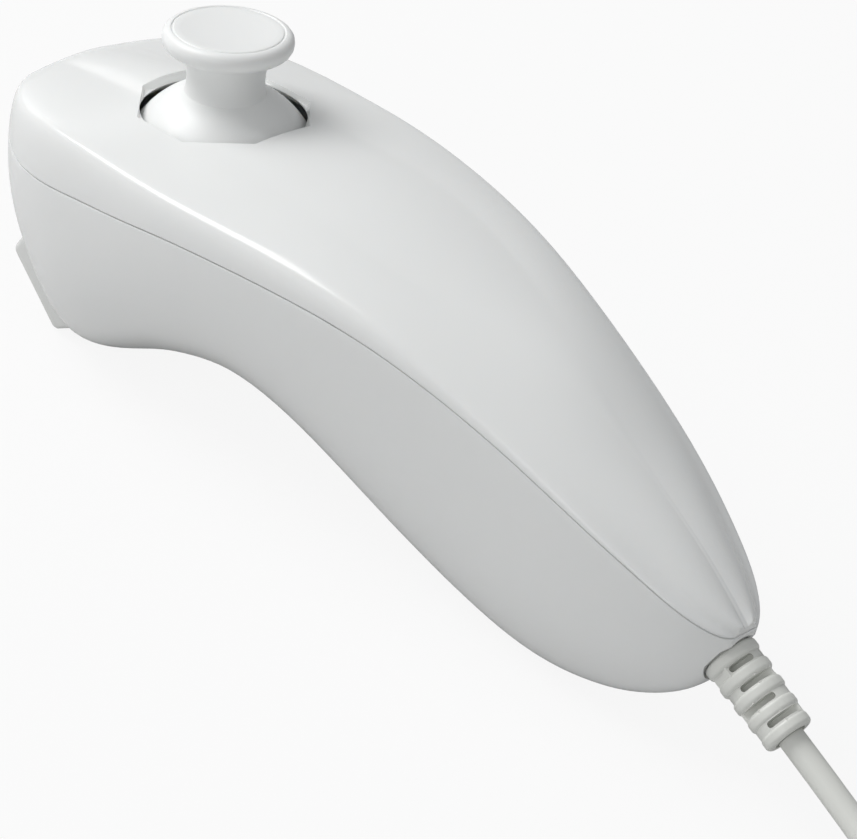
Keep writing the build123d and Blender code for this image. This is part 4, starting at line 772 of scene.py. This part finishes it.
class CONTROLLER_OT_inside(bpy.types.Operator):
    """Gives the inner pieces their materials"""
    bl_idname = "controller.inside"
    bl_label = "Inner pieces"

    def execute(self, context):
        # Thin bright plating: grey metal with blurred reflections
        steel = finish("Zinc-plated steel", linear("#9C9DA0"), 0.3, metallic=1.0, grain=0.15, grain_size=0.3)
        # Lacquer over fibre and resin: glossy green
        board = finish("Solder-masked epoxy board", linear("#1F5B3A"), 0.35, grain=0.2, grain_size=0.5)
        # Dull black, as the glass breaks up the surface
        dark = finish("Glass-filled nylon, black", linear("#232426"), 0.5, grain=0.2, grain_size=0.3)
        # Undyed and waxy: a warm white that light enters
        natural = finish("Moulded acetal", linear("#E2DFD2"), 0.42, grain=0.1, grain_size=0.4, scatter=0.15)
        # Moulded resin, sandy and nearly black
        chip = finish("Epoxy chip package", linear("#18191B"), 0.6, grain=0.25, grain_size=0.2)
        # Smooth and bright
        gold = finish("Gold-plated contact", linear("#D9B45C"), 0.22, metallic=1.0)
        # Soft grey rubber with no highlight
        silicone = finish("Silicone rubber", linear("#4C4E50"), 0.6, grain=0.2, grain_size=0.4)
        # Drawn through a die: even red with a narrow sheen
        wire = finish("Extruded PVC wire", linear("#A63A30"), 0.4, grain=0.1, grain_size=0.3)
        vinyl = bpy.data.materials["Soft moulded PVC"]
        groups = {
            steel: ("housing_screws", "board_screws", "bracket_screws", "stick_shaft", "return_spring",
                    "stick_module_frame", "capacitors"),
            board: ("main_board", "button_board", "trigger_board"),
            dark: ("stick_module_base", "side_sensor", "rear_sensor", "switch_bracket"),
            natural: ("rocker_lower", "rocker_upper", "spring_seat", "cable_socket", "cable_connector"),
            chip: ("microcontroller", "accelerometer"),
            gold: ("plug_contacts",),
            silicone: ("button_membrane", "trigger_membrane"),
            wire: ("cable_wires",),
            vinyl: ("inner_cable",),
        }
        for material, names in groups.items():
            for name in names:
                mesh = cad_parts[name].data
                mesh.materials.clear()
                mesh.materials.append(material)
        return {"FINISHED"}


class CONTROLLER_OT_stage(bpy.types.Operator):
    """Makes the floor, the lamps and the camera"""
    bl_idname = "controller.stage"
    bl_label = "Stage"

    def execute(self, context):
        settings = context.scene.controller_stage
        scene = context.scene
        scene.view_settings.view_transform = "Standard"
        bm = bmesh.new()
        bmesh.ops.create_grid(bm, x_segments=2, y_segments=2, size=FLOOR_HALF)
        floor = mesh_object("floor", bm)
        # Matt paper: takes the soft shadow, and shows nearly white to the camera
        paper = bpy.data.materials.new("Matt paper floor")
        paper.use_nodes = True
        tree = paper.node_tree
        surface = tree.nodes["Principled BSDF"]
        surface.inputs["Base Color"].default_value = (*settings.floor, 1)
        surface.inputs["Roughness"].default_value = 0.9
        rays = node(paper, "ShaderNodeLightPath")
        glow = node(paper, "ShaderNodeEmission", Strength=1.0)
        seen = node(paper, "ShaderNodeMath", [(rays.outputs["Is Camera Ray"], 0)], operation="MULTIPLY")
        seen.inputs[1].default_value = FLOOR_GLOW
        mix = node(paper, "ShaderNodeMixShader",
                   [(seen.outputs[0], 0), (surface.outputs[0], 1), (glow.outputs[0], 2)])
        tree.links.new(mix.outputs[0], tree.nodes["Material Output"].inputs["Surface"])
        floor.data.materials.append(paper)

        world = bpy.data.worlds.new("Studio")
        scene.world = world
        world.use_nodes = True
        sky = world.node_tree.nodes["Background"]
        path = world.node_tree.nodes.new("ShaderNodeLightPath")
        tone = world.node_tree.nodes.new("ShaderNodeMix")
        tone.data_type = "RGBA"
        tone.inputs["A"].default_value = AMBIENT
        tone.inputs["B"].default_value = BACKDROP
        world.node_tree.links.new(path.outputs["Is Camera Ray"], tone.inputs["Factor"])
        world.node_tree.links.new(tone.outputs["Result"], sky.inputs["Color"])

        for name, place, aim, size, power in LAMPS:
            data = bpy.data.lights.new(name, "AREA")
            data.shape = "RECTANGLE"
            data.size, data.size_y = size
            data.energy = power
            lamp = bpy.data.objects.new(name, data)
            scene.collection.objects.link(lamp)
            lamp.location = place
            lamp.rotation_mode = "QUATERNION"
            lamp.rotation_quaternion = (Vector(aim) - Vector(place)).to_track_quat("-Z", "Y")

        lens = bpy.data.cameras.new("camera")
        lens.lens = settings.lens
        lens.sensor_width = SENSOR_WIDTH
        lens.clip_start = 0.02
        camera = bpy.data.objects.new("camera", lens)
        scene.collection.objects.link(camera)
        right = Vector(CAMERA_RIGHT)
        up = Vector(CAMERA_UP)
        back = right.cross(up).normalized()
        up = back.cross(right).normalized()
        turn = Matrix((right.normalized(), up, back)).transposed().to_4x4()
        camera.matrix_world = Matrix.Translation(spot(*CAMERA_PLACE)) @ turn
        scene.camera = camera
        return {"FINISHED"}


class CONTROLLER_PT_panel(bpy.types.Panel):
    """Lists the steps"""
    bl_label = "Controller"
    bl_space_type = "VIEW_3D"
    bl_region_type = "UI"
    bl_category = "Controller"

    def draw(self, context):
        for step in STEPS:
            self.layout.operator(step.bl_idname)


STEPS = (CONTROLLER_OT_housing, CONTROLLER_OT_stick, CONTROLLER_OT_buttons, CONTROLLER_OT_plug,
         CONTROLLER_OT_cord, CONTROLLER_OT_inside, CONTROLLER_OT_stage)
GROUPS = {
    "controller_housing": HousingSettings,
    "controller_stick": StickSettings,
    "controller_buttons": ButtonSettings,
    "controller_cord": CordSettings,
    "controller_stage": StageSettings,
}


def register():
    for kind in (*GROUPS.values(), *STEPS, CONTROLLER_PT_panel):
        bpy.utils.register_class(kind)
    for name, kind in GROUPS.items():
        setattr(bpy.types.Scene, name, PointerProperty(type=kind))


def unregister():
    for name in GROUPS:
        delattr(bpy.types.Scene, name)
    for kind in reversed((*GROUPS.values(), *STEPS, CONTROLLER_PT_panel)):
        bpy.utils.unregister_class(kind)


def main():
    """Runs every step in order."""
    register()
    bpy.ops.controller.housing()
    bpy.ops.controller.stick()
    bpy.ops.controller.buttons()
    bpy.ops.controller.plug()
    bpy.ops.controller.cord()
    bpy.ops.controller.inside()
    bpy.ops.controller.stage()


if __name__ == "__main__":
    main()
